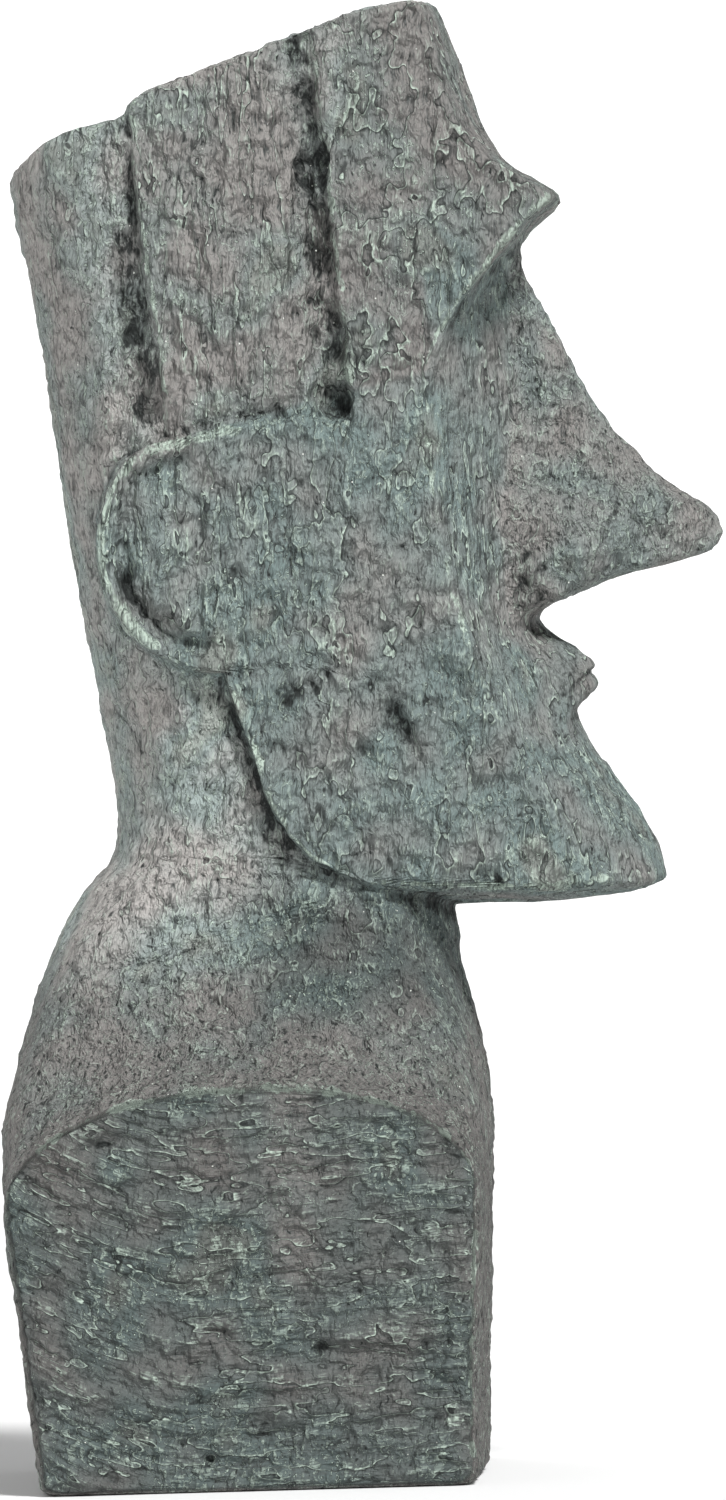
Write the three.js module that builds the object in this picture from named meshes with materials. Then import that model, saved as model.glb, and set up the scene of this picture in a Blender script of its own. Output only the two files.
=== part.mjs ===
// Garden moai, a stylised stone head on a squared shoulder block: one cast piece on a flat underside.
// Millimetres, +Z up. The figure faces -Y, its right side is -X, the origin is the underside's middle.
//
// The form is a field that is negative inside the stone. The field is put together from a shoulder
// block with neck and skull, a flat-sided mask from ear to chin, a brow visor and a nose. Rays shot
// outward along a stack of sheets find the surface: the sheets are level at the underside, arched at
// the shoulder, follow the jaw and tilt to the crown, so they run along every overhang.
import * as THREE from "three";

// ---------------------------------------------------------------- driving dimensions
const HEIGHT = 610; // of the finished figure
const DRAWN_HEIGHT = 611; // of the figure that the stations below are drawn for
const LEAN = THREE.MathUtils.degToRad(1.7); // the underside is cut so that the figure leans forward
const BASE_LEVEL = 5.9; // height of the cut under the carving axis
const STONE = { color: 0x6b716e, roughness: 0.92, metalness: 0 };

// Mesh: rings of points up the side and over the crown, and a half ring's steps in front of the front
// corner, between the corners and behind the back corner.
const SIDE_RINGS = 66;
const CROWN_RINGS = 4;
const HALF_RING = [11, 15, 8];
const PROBES = [50, 90, 40];
const RIM = 2.984; // sheet at which the side ends and the crown begins
const CROWN_EYE = { forward: -8, up: 470 }; // crown rays start here

// Rounding where two faces meet.
const ROUND = {
  block: 8, ridge: 2.5, mask: 3, brow: 4, visor: 4.5, socket: 12, nose: 9, nostril: 7, crown: 5, foot: 6,
};

// Shoulder block: its side face is flat and ends above in an arch.
const ARCH = { top: 171, foot: 118, middle: -4, half: 99, backPower: 2, frontPower: 3 };
// Ear: an oval plate behind, cut by a rising line above, open to the cheek in front.
const EAR = { forward: -18, up: 394, halfDepth: 49, halfHeight: 53, scale: 50 };
const EAR_TOP = { up: 438.5, at: -30, rise: 0.27 };
// Carving inside the ear's outline, each at a distance from it: a raised rim, a dished plate, a trough
// behind the rim, and a slit over the ear's top line.
const EAR_RIM = { inside: 3, width: 3.6, height: 1.4 };
const EAR_DISH = { from: 5, full: 10, to: 40, depth: 1.8 };
const EAR_TROUGH = { inside: 10, width: 4, depth: 5.5, upperShare: 0.35 };
const EAR_SLIT = { inside: -2.4, width: 2.4, depth: 4, forward: -1, reach: 12, share: 0.3 };
// Temple grooves: a deep one between the two front panels, a hollow behind the middle panel.
const GROOVE = { foot: 440, forward: 33.5, slant: -0.11, front: 6, rear: 11, depth: 8.5, fade: 0.3 };
const HOLLOW = { forward: -56, width: 9, depth: 5 };
// Face: nose, nostrils and lips.
const NOSE = { bridgeHalf: 8, flare: 0.3, top: 530, root: 60, sag: 2, sagAt: 30 };
const NOSTRIL = { side: 22, forward: 126, up: 390, width: 12.5, depth: 21, height: 14.5, tilt: 0.33 };
const MOUTH = { up: 342, droop: 11, droopAt: 32, half: 36 };
const LIPS = { upper: 15, upperRise: 22, lower: 13, lowerFall: 17 };
const MASK_TAPER = { from: -40, slope: 0.055 }; // the flat sides draw together towards the face
const JAW_SAG = 5.5;
const EAR_END = 10; // in front of this the mask's rear edge alone bounds the plate
const VISOR = { back: 30, sweep: 7, sweepAt: 72, sweepPower: 2.4 };
const JAW_UNDERCUT = 0.1; // slope of the jaw's sheet below the chin, so that rings cross its underside

// Pits chipped in the right cheek; the left cheek has them shallower.
const LEFT_PITS = 0.4;
const PITS = [
  { forward: 31, up: 453, slant: 0, rear: 10, front: 10, half: 8, depth: 6 },
  { forward: 58, up: 322, slant: -0.42, rear: 10, front: 5, half: 17, depth: 6.5 },
  { forward: 11.5, up: 333, slant: 0, rear: 7, front: 7, half: 9, depth: 2.5 },
];

// ---------------------------------------------------------------- small functions
const { clamp } = THREE.MathUtils;

/** 0 at a, 1 at b, smooth between; a may be greater than b. */
function ramp(a, b, t) {
  const u = clamp((t - a) / (b - a), 0, 1);
  return u * u * (3 - 2 * u);
}

/** A bell of height 1 about a centre. */
function bell(t, centre, width) {
  const u = (t - centre) / width;
  return Math.exp(-u * u);
}

/** The greater of two fields, rounded where they meet: the two shapes' common part. */
function meet(a, b, radius) {
  const h = Math.max(radius - Math.abs(a - b), 0) / radius;
  return Math.max(a, b) + (h * h * radius) / 4;
}

/** The lesser of two fields, rounded where they meet: the two shapes joined. */
function join(a, b, radius) {
  return -meet(-a, -b, radius);
}

/** A smooth profile through stations [at, value] that never overshoots them, kept as a fine table. */
function profile(...stations) {
  const samples = 2048;
  const at = stations.map((s) => s[0]);
  const value = stations.map((s) => s[1]);
  const last = at.length - 1;
  const slopes = at.slice(1).map((t, i) => (value[i + 1] - value[i]) / (t - at[i]));
  const tangent = at.map((t, i) => {
    if (i === 0 || i === last) return slopes[Math.min(i, last - 1)];
    const before = slopes[i - 1];
    const after = slopes[i];
    if (before * after <= 0) return 0;
    const w1 = 2 * (at[i + 1] - t) + (t - at[i - 1]);
    const w2 = at[i + 1] - t + 2 * (t - at[i - 1]);
    return (w1 + w2) / (w1 / before + w2 / after);
  });
  const table = new Float64Array(samples + 1);
  for (let n = 0, i = 0; n <= samples; n += 1) {
    const t = at[0] + ((at[last] - at[0]) * n) / samples;
    while (i < last - 1 && t > at[i + 1]) i += 1;
    const h = at[i + 1] - at[i];
    const u = (t - at[i]) / h;
    const v = 1 - u;
    table[n] =
      value[i] * (1 + 2 * u) * v * v +
      tangent[i] * h * u * v * v +
      value[i + 1] * u * u * (3 - 2 * u) -
      tangent[i + 1] * h * u * u * v;
  }
  const scale = samples / (at[last] - at[0]);
  return (t) => {
    const n = clamp((t - at[0]) * scale, 0, samples);
    const i = Math.min(Math.floor(n), samples - 1);
    return table[i] + (table[i + 1] - table[i]) * (n - i);
  };
}

// ---------------------------------------------------------------- profiles, [at, value]
// Heights against forward distance.
const crownUp = profile(
  [-130, 533], [-107, 548], [-84, 563], [-65, 568.5], [-58, 570], [-52.5, 577],
  [-23, 589.5], [10, 602.5], [55, 617.5], [72, 619.5], [130, 620],
);
const jawUp = profile(
  [-60, 264], [8, 264], [22, 262], [38, 256], [59, 252.5], [100, 251.5], [141, 254.5],
  [157, 257], [166, 260], [185, 266],
);
const browUnder = profile(
  [50, 446], [62, 456], [68, 465], [72, 475], [79, 488.6], [91.5, 505], [105, 521],
  [111.5, 529], [121.5, 537], [142, 553],
);
const noseUnder = profile(
  [100, 358], [122, 371], [143, 380], [171, 387.5], [184, 391.5], [195, 399.5], [210, 407.5],
);
// Forward distances against height.
const browFront = profile(
  [528, 144], [537, 128], [545, 114.5], [553, 101.5], [561, 94], [570, 88.2],
  [587, 82], [611, 74.5], [640, 66],
);
const noseFront = profile(
  [380, 191.5], [398.5, 191.5], [405.5, 189.5], [413.5, 180.5], [421.5, 167.6], [438.5, 149.8],
  [454, 137.3], [471, 127.3], [495.5, 115.2], [508, 108.5], [520, 106], [560, 98],
);
const faceFront = profile(
  [240, 171], [262, 167], [279, 158.8], [295, 148.3], [312, 136.5], [322, 131.5], [335, 127.5],
  [350, 120.5], [361, 115.5], [375, 113.5], [405, 114], [438, 112.5], [471, 109],
  [504, 104], [530, 97], [575, 84], [640, 46],
);
const faceCorner = profile(
  [240, 146], [275, 124.5], [304, 108], [337, 91.5], [361, 83.5], [390, 77], [435, 70.5],
  [467, 69.5], [560, 66], [640, 44],
);
const facePower = profile([255, 2.3], [300, 1.9], [340, 1.5], [372, 1.2], [405, 1.15], [640, 1.25]);
const maskBack = profile(
  [250, 58], [256, 36], [275, 11.5], [310, -3.5], [341, -14], [400, -30], [444, -37],
  [472, -40.5], [501, -46], [534, -50], [570, -53], [640, -58],
);
const trunkBack = profile(
  [0, -90], [50, -96.5], [130, -106.5], [150, -107.5], [171, -104], [204, -95.7], [237, -83],
  [254, -72], [264, -64], [280, -61.3], [308, -65], [379, -78], [437, -87], [495, -96],
  [540, -105.5], [640, -116],
);
const trunkFront = profile(
  [0, 92.5], [60, 93], [125, 94], [154, 94.5], [171, 93], [191, 90], [208, 85.7],
  [225, 81.5], [238, 80], [252, 76], [270, 66], [640, 60],
);
// Half widths against height.
const maskHalf = profile(
  [250, 76], [290, 80], [340, 83], [400, 84], [470, 82], [530, 80], [575, 77], [640, 73],
);
const blockHalf = profile([0, 121], [125, 126.5], [260, 128]);
const shoulderHalf = profile(
  [150, 176], [165, 139], [171, 127.5], [180, 113], [190, 102], [205, 89.5], [220, 80],
  [235, 73], [250, 69], [264, 67], [283, 67], [300, 69], [340, 73], [400, 76.5], [480, 77.5],
  [540, 75.5], [640, 72],
);
// How far the trunk's back and front bow out between their corners, and how squarely.
const backBow = profile([0, 3], [150, 4], [200, 12], [264, 26], [300, 34], [640, 36]);
const frontBow = profile([0, 2], [150, 3], [200, 12], [240, 24], [640, 24]);
const bowPower = profile([0, 2], [150, 2.2], [264, 2.6], [640, 2.8]);

const baseUp = (forward) => BASE_LEVEL + Math.tan(LEAN) * forward;

function archUp(forward) {
  const t = clamp(Math.abs(forward - ARCH.middle) / ARCH.half, 0, 1);
  const power = forward > ARCH.middle ? ARCH.frontPower : ARCH.backPower;
  return ARCH.foot + (ARCH.top - ARCH.foot) * Math.sqrt(1 - t ** power);
}

// ---------------------------------------------------------------- the carved form
/** Half width of the shoulders: their slope follows the arch at their foot and levels out at the neck. */
const slopeHalf = (forward, up) =>
  shoulderHalf(up + (ARCH.top - archUp(forward)) * (1 - ramp(215, 262, up)));

const trunkHalf = (forward, up) => Math.min(blockHalf(up), slopeHalf(forward, up));

/** Block, shoulders, neck and back of the skull. */
function trunk(side, forward, up) {
  const bow = clamp(side / trunkHalf(forward, up), 0, 1.3) ** bowPower(up);
  const hollow =
    HOLLOW.depth * bell(forward, HOLLOW.forward, HOLLOW.width) * ramp(600, 480, up) * ramp(405, 440, up);
  const shoulder = (side - slopeHalf(forward, up) + hollow) * 0.72;
  const flank = meet(side - blockHalf(up), shoulder, ROUND.ridge);
  const front = forward - (trunkFront(up) - frontBow(up) * bow);
  const back = trunkBack(up) + backBow(up) * bow - forward;
  return meet(meet(flank, front, ROUND.block), back, ROUND.block);
}

/** Distance inside the ear's outline. */
function earDepth(forward, up) {
  const behind = Math.min(forward - EAR.forward, 0) / EAR.halfDepth;
  const oval = (1 - Math.hypot(behind, (up - EAR.up) / EAR.halfHeight)) * EAR.scale;
  const line = EAR_TOP.up + EAR_TOP.rise * (forward - EAR_TOP.at) - up;
  return join(oval, line, ROUND.foot);
}

/** Rim, dish, trough and slit of the ear, outward. */
function earRelief(forward, up) {
  const inside = earDepth(forward, up);
  const closed = (1 - ramp(4, 22, forward)) * (1 - ramp(-22, -4, forward) * ramp(400, 380, up));
  const rim = EAR_RIM.height * bell(inside, EAR_RIM.inside, EAR_RIM.width) * closed;
  const plate = ramp(EAR_DISH.from, EAR_DISH.full, inside) * (1 - ramp(EAR_DISH.full, EAR_DISH.to, inside));
  const dish = EAR_DISH.depth * plate * (1 - ramp(-40, 0, forward));
  const deeper = EAR_TROUGH.upperShare + (1 - EAR_TROUGH.upperShare) * ramp(400, 365, up);
  const open = deeper * ramp(436, 420, up) * (1 - ramp(-34, -10, forward));
  const trough = EAR_TROUGH.depth * bell(inside, EAR_TROUGH.inside, EAR_TROUGH.width) * open;
  const cut = EAR_SLIT.share + (1 - EAR_SLIT.share) * bell(forward, EAR_SLIT.forward, EAR_SLIT.reach);
  const along = cut * ramp(420, 434, up) * (1 - ramp(6, 14, forward));
  const slit = EAR_SLIT.depth * bell(inside, EAR_SLIT.inside, EAR_SLIT.width) * along;
  return rim - dish - trough - slit;
}

/** Temple groove, outward: a straight wall in front, a long slope behind. */
function grooveRelief(forward, up) {
  const across = forward - (GROOVE.forward + GROOVE.slant * (up - GROOVE.foot));
  const section = across > 0 ? Math.exp(-((across / GROOVE.front) ** 4)) : bell(across, 0, GROOVE.rear);
  return -GROOVE.depth * section * ramp(438, 462, up) * (1 - GROOVE.fade * ramp(560, 610, up));
}

/** Carving on the mask's flat side, outward. */
function sideRelief(forward, up, isLeft) {
  const share = isLeft ? LEFT_PITS : 1;
  const pits = PITS.map((pit) => {
    const offset = forward - pit.forward - pit.slant * (up - pit.up);
    const reach = offset > 0 ? pit.front : pit.rear;
    return pit.depth * bell(offset, 0, reach) * bell(up, pit.up, pit.half);
  });
  const pitted = share * pits.reduce((sum, depth) => sum + depth);
  return earRelief(forward, up) + grooveRelief(forward, up) - pitted;
}

const maskFlank = (forward, up) => maskHalf(up) - MASK_TAPER.slope * (forward - MASK_TAPER.from);

/** How far the lips stand out of the face. */
function lips(side, up) {
  const across = clamp(1 - (side / MOUTH.half) ** 2, 0, 1);
  const above = up - MOUTH.up + MOUTH.droop * (side / MOUTH.droopAt) ** 2;
  const upper = LIPS.upper * ramp(LIPS.upperRise, 2, above) * ramp(-2, 2, above);
  const lower = LIPS.lower * ramp(-LIPS.lowerFall, -4, above) * ramp(2, -2, above);
  return (upper + lower) * across ** 0.7;
}

/** The flat-sided mask with the ear, and the brow visor that hangs over the eyes. */
function mask(side, forward, up, relief) {
  const flank = side - maskFlank(forward, up) - relief;
  const corner = faceCorner(up);
  const across = clamp(side / maskFlank(corner, up), 0, 1.25) ** facePower(up);
  const front = faceFront(up) - (faceFront(up) - corner) * across + lips(side, up);
  const share = clamp(side / maskFlank(forward, up), 0, 1);
  const jaw = jawUp(forward) - JAW_SAG * (1 - share * share) - up;
  const ear = Math.max(-earDepth(forward, up), forward - EAR_END);
  const back = Math.min((maskBack(up) - forward) * 0.85, ear);
  const plate = meet(meet((forward - front) * 0.85, jaw, ROUND.mask), back, ROUND.mask);
  const swept = browFront(up) - VISOR.sweep * (side / VISOR.sweepAt) ** VISOR.sweepPower;
  const under = (browUnder(forward) - up) * 0.62;
  const visor = meet(meet((forward - swept) * 0.75, under, ROUND.visor), VISOR.back - forward, ROUND.mask);
  return meet(join(plate, visor, ROUND.socket), flank, ROUND.mask);
}

function nose(side, forward, up) {
  const front = noseFront(up);
  const half = NOSE.bridgeHalf + NOSE.flare * Math.max(front - forward, 0);
  const ridge = meet((side - half) * 0.95, (forward - front) * 0.72, ROUND.nose);
  const under = (noseUnder(forward) + NOSE.sag * (side / NOSE.sagAt) ** 2 - up) * 0.94;
  const capped = meet(meet(ridge, under, ROUND.brow), up - NOSE.top, ROUND.brow);
  const body = meet(capped, NOSE.root - forward, ROUND.mask);
  const nostril = Math.hypot(
    (side - NOSTRIL.side) / NOSTRIL.width,
    (forward - NOSTRIL.forward) / NOSTRIL.depth,
    (up - NOSTRIL.up - NOSTRIL.tilt * (forward - NOSTRIL.forward)) / NOSTRIL.height,
  );
  return join(body, (nostril - 1) * NOSTRIL.width, ROUND.nostril);
}

/** The whole field: x is sideways with the figure's left positive. */
function field(x, forward, up) {
  const side = Math.abs(x);
  const relief = sideRelief(forward, up, x > 0);
  let stone = join(trunk(side, forward, up), mask(side, forward, up, relief), ROUND.brow);
  stone = join(stone, nose(side, forward, up), ROUND.crown);
  stone = meet(stone, (up - crownUp(forward)) * 0.92, ROUND.crown);
  return meet(stone, baseUp(forward) - up, ROUND.foot);
}

// ---------------------------------------------------------------- from field to surface
/** Height of a sheet: 0 underside, 1 shoulder arch, 2 jaw, 3 crown. */
function sheetUp(sheet, forward) {
  const jaw = jawUp(forward) - JAW_UNDERCUT * Math.max(forward - 60, 0);
  const levels = [baseUp(forward), archUp(forward), jaw, crownUp(forward)];
  const i = Math.min(Math.floor(sheet), 2);
  return levels[i] + (levels[i + 1] - levels[i]) * (sheet - i);
}

/** First point outside a shape on a path from near to far, by steps and then by halving. */
function crossing(shape, pointAt, near, far, steps, halvings) {
  const outside = (r) => shape(...pointAt(r)) > 0;
  let inner = near;
  let outer = far;
  for (let i = 1; i <= steps; i += 1) {
    const r = near + ((far - near) * i) / steps;
    if (outside(r)) {
      outer = r;
      break;
    }
    inner = r;
  }
  for (let i = 0; i < halvings; i += 1) {
    const middle = (inner + outer) / 2;
    if (outside(middle)) outer = middle;
    else inner = middle;
  }
  return pointAt((inner + outer) / 2);
}

/** Point of the side: the angle runs from the front over the figure's right. */
function sidePoint(sheet, angle, steps, halvings) {
  const along = (r) => {
    const forward = r * Math.cos(angle);
    return [-r * Math.sin(angle), forward, sheetUp(sheet, forward)];
  };
  return crossing(field, along, 20, 215, steps, halvings);
}

/** Point of the crown: a rim point drawn in towards the middle by a share of its way. */
function crownPoint([x, forward, up], share) {
  const targetX = x * (1 - share);
  const target = CROWN_EYE.forward + (forward - CROWN_EYE.forward) * (1 - share);
  const targetUp = crownUp(target) - (crownUp(forward) - up) * (1 - share) ** 6;
  const along = (r) => [
    r * targetX,
    CROWN_EYE.forward + r * (target - CROWN_EYE.forward),
    CROWN_EYE.up + r * (targetUp - CROWN_EYE.up),
  ];
  return crossing(field, along, 0.6, 1.3, 28, 16);
}

/** Sheets from underside to rim, closer together where the form has an edge or an overhang. */
function sheetStack(count) {
  const spans = [60, 80, 345];
  const edges = [
    [0, 0.04, 8], [1, 0.05, 2], [1.92, 0.07, 1], [2.02, 0.03, 2], [2.235, 0.03, 2.5],
    [2.36, 0.05, 1.5], [2.545, 0.02, 2], [2.775, 0.025, 3],
  ];
  const density = (sheet) => {
    const crowd = edges.reduce((sum, [at, width, more]) => sum + more * bell(sheet, at, width), 1);
    return spans[Math.min(Math.floor(sheet), 2)] * crowd;
  };
  return spread(0, RIM, 3000, density, count);
}

/** Places that share out a density evenly between two ends. */
function spread(from, to, samples, density, count) {
  const total = [0];
  for (let i = 0; i < samples; i += 1) {
    total.push(total[i] + density(from + ((to - from) * (i + 0.5)) / samples));
  }
  const places = [];
  for (let n = 0, i = 0; n < count; n += 1) {
    const goal = (total[samples] * n) / (count - 1);
    while (i < samples - 1 && total[i + 1] < goal) i += 1;
    const part = clamp((goal - total[i]) / (total[i + 1] - total[i]), 0, 1);
    places.push(from + ((to - from) * (i + part)) / samples);
  }
  return places;
}

/** Angle of the trunk's front or back corner on a sheet. */
function trunkCorner(sheet, isFront) {
  let forward = isFront ? trunkFront(0) : trunkBack(0);
  let up = sheetUp(sheet, forward);
  for (let i = 0; i < 8; i += 1) {
    forward = isFront ? trunkFront(up) - frontBow(up) : trunkBack(up) + backBow(up);
    up = sheetUp(sheet, forward);
  }
  return Math.atan2(trunkHalf(forward, up), forward);
}

/** Angle of the mask's edge on a sheet, found along its flat side from one forward distance to another. */
function maskCorner(sheet, from, to) {
  const inset = 1.5;
  const along = (forward) => {
    const up = sheetUp(sheet, forward);
    return [maskFlank(forward, up) - inset, forward, up, 0];
  };
  const [side, forward] = crossing(mask, along, from, to, 60, 12);
  return Math.atan2(side + inset, forward);
}

/** The two angles at which a ring turns from front to side and from side to back. */
function ringCorners(sheet) {
  if (sheet >= 2) return [maskCorner(sheet, 45, 150), maskCorner(sheet, 45, -90)];
  const towardJaw = ramp(1.45, 2, sheet);
  const back = trunkCorner(sheet, false);
  return [trunkCorner(sheet, true), back + (maskCorner(2, 45, -90) - back) * towardJaw];
}

/** Shares of one span of a ring between two angles: by length, and by how much the section bends. */
function spanWeights(sheet, from, to, probes) {
  const points = Array.from({ length: probes + 1 }, (_, j) =>
    new THREE.Vector3(...sidePoint(sheet, from + ((to - from) * j) / probes, 36, 8)));
  const chords = points.slice(1).map((p, j) => p.clone().sub(points[j]));
  const turn = (j) => (j < 1 || j >= probes ? 0 : chords[j].angleTo(chords[j - 1]));
  const bends = chords.map((_, j) => (turn(j) + turn(j + 1)) / 2 + 0.002);
  const length = chords.reduce((sum, c) => sum + c.length(), 0);
  const bending = bends.reduce((a, b) => a + b);
  return chords.map((c, j) => 0.6 * (c.length() / length) + 0.4 * (bends[j] / bending));
}

/** Half-ring angles for every sheet. Weights are averaged with the sheets around, so columns run smoothly. */
function ringAngles(sheets, reach) {
  const ends = sheets.map((sheet) => [0, ...ringCorners(sheet), Math.PI]);
  const angles = sheets.map(() => [0]);
  HALF_RING.forEach((count, span) => {
    const probes = PROBES[span];
    const weights = sheets.map((sheet, i) => spanWeights(sheet, ends[i][span], ends[i][span + 1], probes));
    sheets.forEach((_, i) => {
      const mixed = new Array(probes).fill(0);
      for (let k = -reach; k <= reach; k += 1) {
        const share = Math.exp(-2 * (k / reach) ** 2);
        weights[clamp(i + k, 0, sheets.length - 1)].forEach((w, j) => (mixed[j] += share * w));
      }
      const density = (place) => mixed[Math.min(Math.floor(place * probes), probes - 1)];
      const [from, to] = ends[i].slice(span, span + 2);
      const places = spread(0, 1, probes, density, count + 1).slice(1);
      angles[i].push(...places.map((place) => from + (to - from) * place));
    });
  });
  return angles;
}

/** Full rings of points: the half ring's angles, mirrored for the left side. */
function carveRings() {
  const sheets = sheetStack(SIDE_RINGS);
  const angles = ringAngles(sheets, 3);
  const rings = sheets.map((sheet, i) => {
    const right = angles[i];
    const left = right.slice(1, -1).reverse().map((angle) => 2 * Math.PI - angle);
    return [...right, ...left].map((angle) => sidePoint(sheet, angle, 40, 20));
  });
  const rim = rings[rings.length - 1];
  for (let i = 1; i < CROWN_RINGS; i += 1) {
    const share = (i / CROWN_RINGS) ** 2;
    rings.push(rim.map((point) => crownPoint(point, share)));
  }
  return rings;
}

/** From the carving frame to the standing figure: on its cut underside, facing -Y. */
function stand([x, forward, up]) {
  const scale = HEIGHT / DRAWN_HEIGHT;
  const raised = up - BASE_LEVEL;
  const ahead = forward * Math.cos(LEAN) + raised * Math.sin(LEAN);
  const height = raised * Math.cos(LEAN) - forward * Math.sin(LEAN);
  return [x * scale, -ahead * scale, height * scale];
}

/** Closed skin over the rings, with one point in the middle of the underside and one of the crown. */
function skin(rings) {
  const count = rings[0].length;
  const points = rings.flat();
  const underside = points.push([0, 0, BASE_LEVEL]) - 1;
  const top = points.push([0, CROWN_EYE.forward, crownUp(CROWN_EYE.forward)]) - 1;
  const placed = points.map(stand);
  const apart = (a, b) => Math.hypot(...placed[a].map((value, axis) => value - placed[b][axis]));
  const faces = [];
  for (let j = 0; j < count; j += 1) {
    const next = (j + 1) % count;
    faces.push(underside, j, next);
    for (let i = 0; i < rings.length - 1; i += 1) {
      const a = i * count + j;
      const b = i * count + next;
      const c = b + count;
      const d = a + count;
      if (apart(a, c) <= apart(b, d)) faces.push(a, d, c, a, c, b);
      else faces.push(a, d, b, d, c, b);
    }
    const last = (rings.length - 1) * count;
    faces.push(last + j, top, last + next);
  }
  const geometry = new THREE.BufferGeometry();
  geometry.setAttribute("position", new THREE.Float32BufferAttribute(placed.flat(), 3));
  geometry.setIndex(faces);
  geometry.computeVertexNormals();
  return geometry;
}

const statue = new THREE.Mesh(skin(carveRings()), new THREE.MeshStandardMaterial(STONE));
statue.name = "moai_statue";

const root = new THREE.Group();
root.add(statue);
export default root;
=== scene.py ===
"""Garden moai: a stylised stone head on a squared shoulder block, cast in one piece.

The statue's skin is a closed grid of points.  Its two parameters are a sheet, from the underside up
to the crown, and an angle round the figure.  A field that is negative inside the stone is put
together from a block with neck and skull, a flat-sided mask and a nose, and each grid point is where
a ray along its sheet leaves the stone.  Weathering then moves the points along their normals, and
paints zones, wear and painted shade into attributes that the stone finish reads.
"""
import logging
import math
from collections.abc import Callable
from dataclasses import dataclass
from enum import Enum, IntEnum

import bpy
import numpy as np
from mathutils import Matrix, Vector


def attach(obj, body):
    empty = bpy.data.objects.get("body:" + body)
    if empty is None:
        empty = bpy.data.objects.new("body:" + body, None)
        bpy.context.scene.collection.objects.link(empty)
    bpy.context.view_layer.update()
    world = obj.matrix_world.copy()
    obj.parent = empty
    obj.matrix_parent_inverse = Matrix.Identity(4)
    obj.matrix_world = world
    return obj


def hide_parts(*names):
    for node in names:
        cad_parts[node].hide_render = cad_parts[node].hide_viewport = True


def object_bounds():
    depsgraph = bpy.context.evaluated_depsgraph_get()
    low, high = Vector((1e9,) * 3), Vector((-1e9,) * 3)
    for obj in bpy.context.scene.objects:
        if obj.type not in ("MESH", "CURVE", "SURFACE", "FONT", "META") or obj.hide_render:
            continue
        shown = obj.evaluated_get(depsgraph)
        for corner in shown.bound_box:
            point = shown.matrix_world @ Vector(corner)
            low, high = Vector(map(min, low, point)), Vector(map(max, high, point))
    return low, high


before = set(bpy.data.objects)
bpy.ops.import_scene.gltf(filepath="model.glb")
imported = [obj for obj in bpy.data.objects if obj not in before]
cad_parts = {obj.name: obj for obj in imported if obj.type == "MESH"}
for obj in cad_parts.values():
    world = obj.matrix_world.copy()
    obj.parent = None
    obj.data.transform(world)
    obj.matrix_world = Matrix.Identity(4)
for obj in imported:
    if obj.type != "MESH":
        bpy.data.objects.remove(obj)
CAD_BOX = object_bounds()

logging.basicConfig(level=logging.INFO, format="%(message)s")
LOG = logging.getLogger("moai")

NODE = "moai_statue"
PIECE = "moai_statue_stone"
SLOT = "weathered_stone"

# The carving frame: millimetres, side = distance from the middle plane, forward, up.
HEIGHT = 610.0
DRAWN_HEIGHT = 611.0
LEAN = math.radians(1.7)
BASE_LEVEL = 5.9
MM = 0.001
NECK_JOIN = 4.0
NOSE_JOIN = 5.0
CROWN_ROUND = 5.0
CROWN_STEEPNESS = 0.92
BASE_ROUND = 6.0

Array = np.ndarray
Place = tuple[Array, Array, Array]
Colour = tuple[float, float, float, float]
Socket = bpy.types.NodeSocket
Value = Socket | float


# ---------------------------------------------------------------- small functions on whole arrays
def ramp(start: float, end: float, t: Array) -> Array:
    """Smooth step, 3u^2 - 2u^3 of the share u of the way from start to end."""
    u = np.clip((t - start) / (end - start), 0.0, 1.0)
    return u * u * (3.0 - 2.0 * u)


def bell(t: Array, centre: float | Array = 0.0, width: float | Array = 1.0) -> Array:
    """Bell of height 1 about a centre, exp(-(t - centre)^2 / width^2)."""
    u = (t - centre) / width
    return np.exp(-u * u)


def meet(a: Array, b: Array, radius: float) -> Array:
    """Common part of two shapes: the greater field plus h^2 r / 4 where they come within r."""
    h = np.maximum(radius - np.abs(a - b), 0.0) / radius
    return np.maximum(a, b) + h * h * radius / 4.0


def join(a: Array, b: Array, radius: float) -> Array:
    """Two shapes joined: minus the common part of their outsides."""
    return -meet(-a, -b, radius)


@dataclass(frozen=True)
class Profile:
    """Smooth curve through stations (at, value) that never overshoots them.

    Tangents are the weighted harmonic mean of the neighbouring slopes, and each span is the cubic
    Hermite curve between its two stations, kept as a fine table.
    """

    stations: tuple[tuple[float, float], ...]
    samples: int = 2048

    def __post_init__(self) -> None:
        """Fill the table once."""
        at, value = np.array(self.stations, float).T
        width = np.diff(at)
        slope = np.diff(value) / width
        tangent = np.empty_like(at)
        tangent[0], tangent[-1] = slope[0], slope[-1]
        before, after = slope[:-1], slope[1:]
        near, far = 2 * width[1:] + width[:-1], width[1:] + 2 * width[:-1]
        same = before * after > 0
        safe_before, safe_after = np.where(same, before, 1.0), np.where(same, after, 1.0)
        mean = (near + far) / (near / safe_before + far / safe_after)
        tangent[1:-1] = np.where(same, mean, 0.0)
        t = np.linspace(at[0], at[-1], self.samples)
        i = np.clip(np.searchsorted(at, t) - 1, 0, len(at) - 2)
        u = (t - at[i]) / width[i]
        v = 1.0 - u
        table = (
            value[i] * (1 + 2 * u) * v * v
            + tangent[i] * width[i] * u * v * v
            + value[i + 1] * u * u * (3 - 2 * u)
            - tangent[i + 1] * width[i] * u * u * v
        )
        object.__setattr__(self, "_at", t)
        object.__setattr__(self, "_table", table)

    def __call__(self, t: Array | float) -> Array:
        """Value of the curve at t, level past its ends."""
        return np.interp(t, self._at, self._table)


def profile(*stations: tuple[float, float]) -> Profile:
    """Profile through the given stations."""
    return Profile(tuple(stations))


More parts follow.
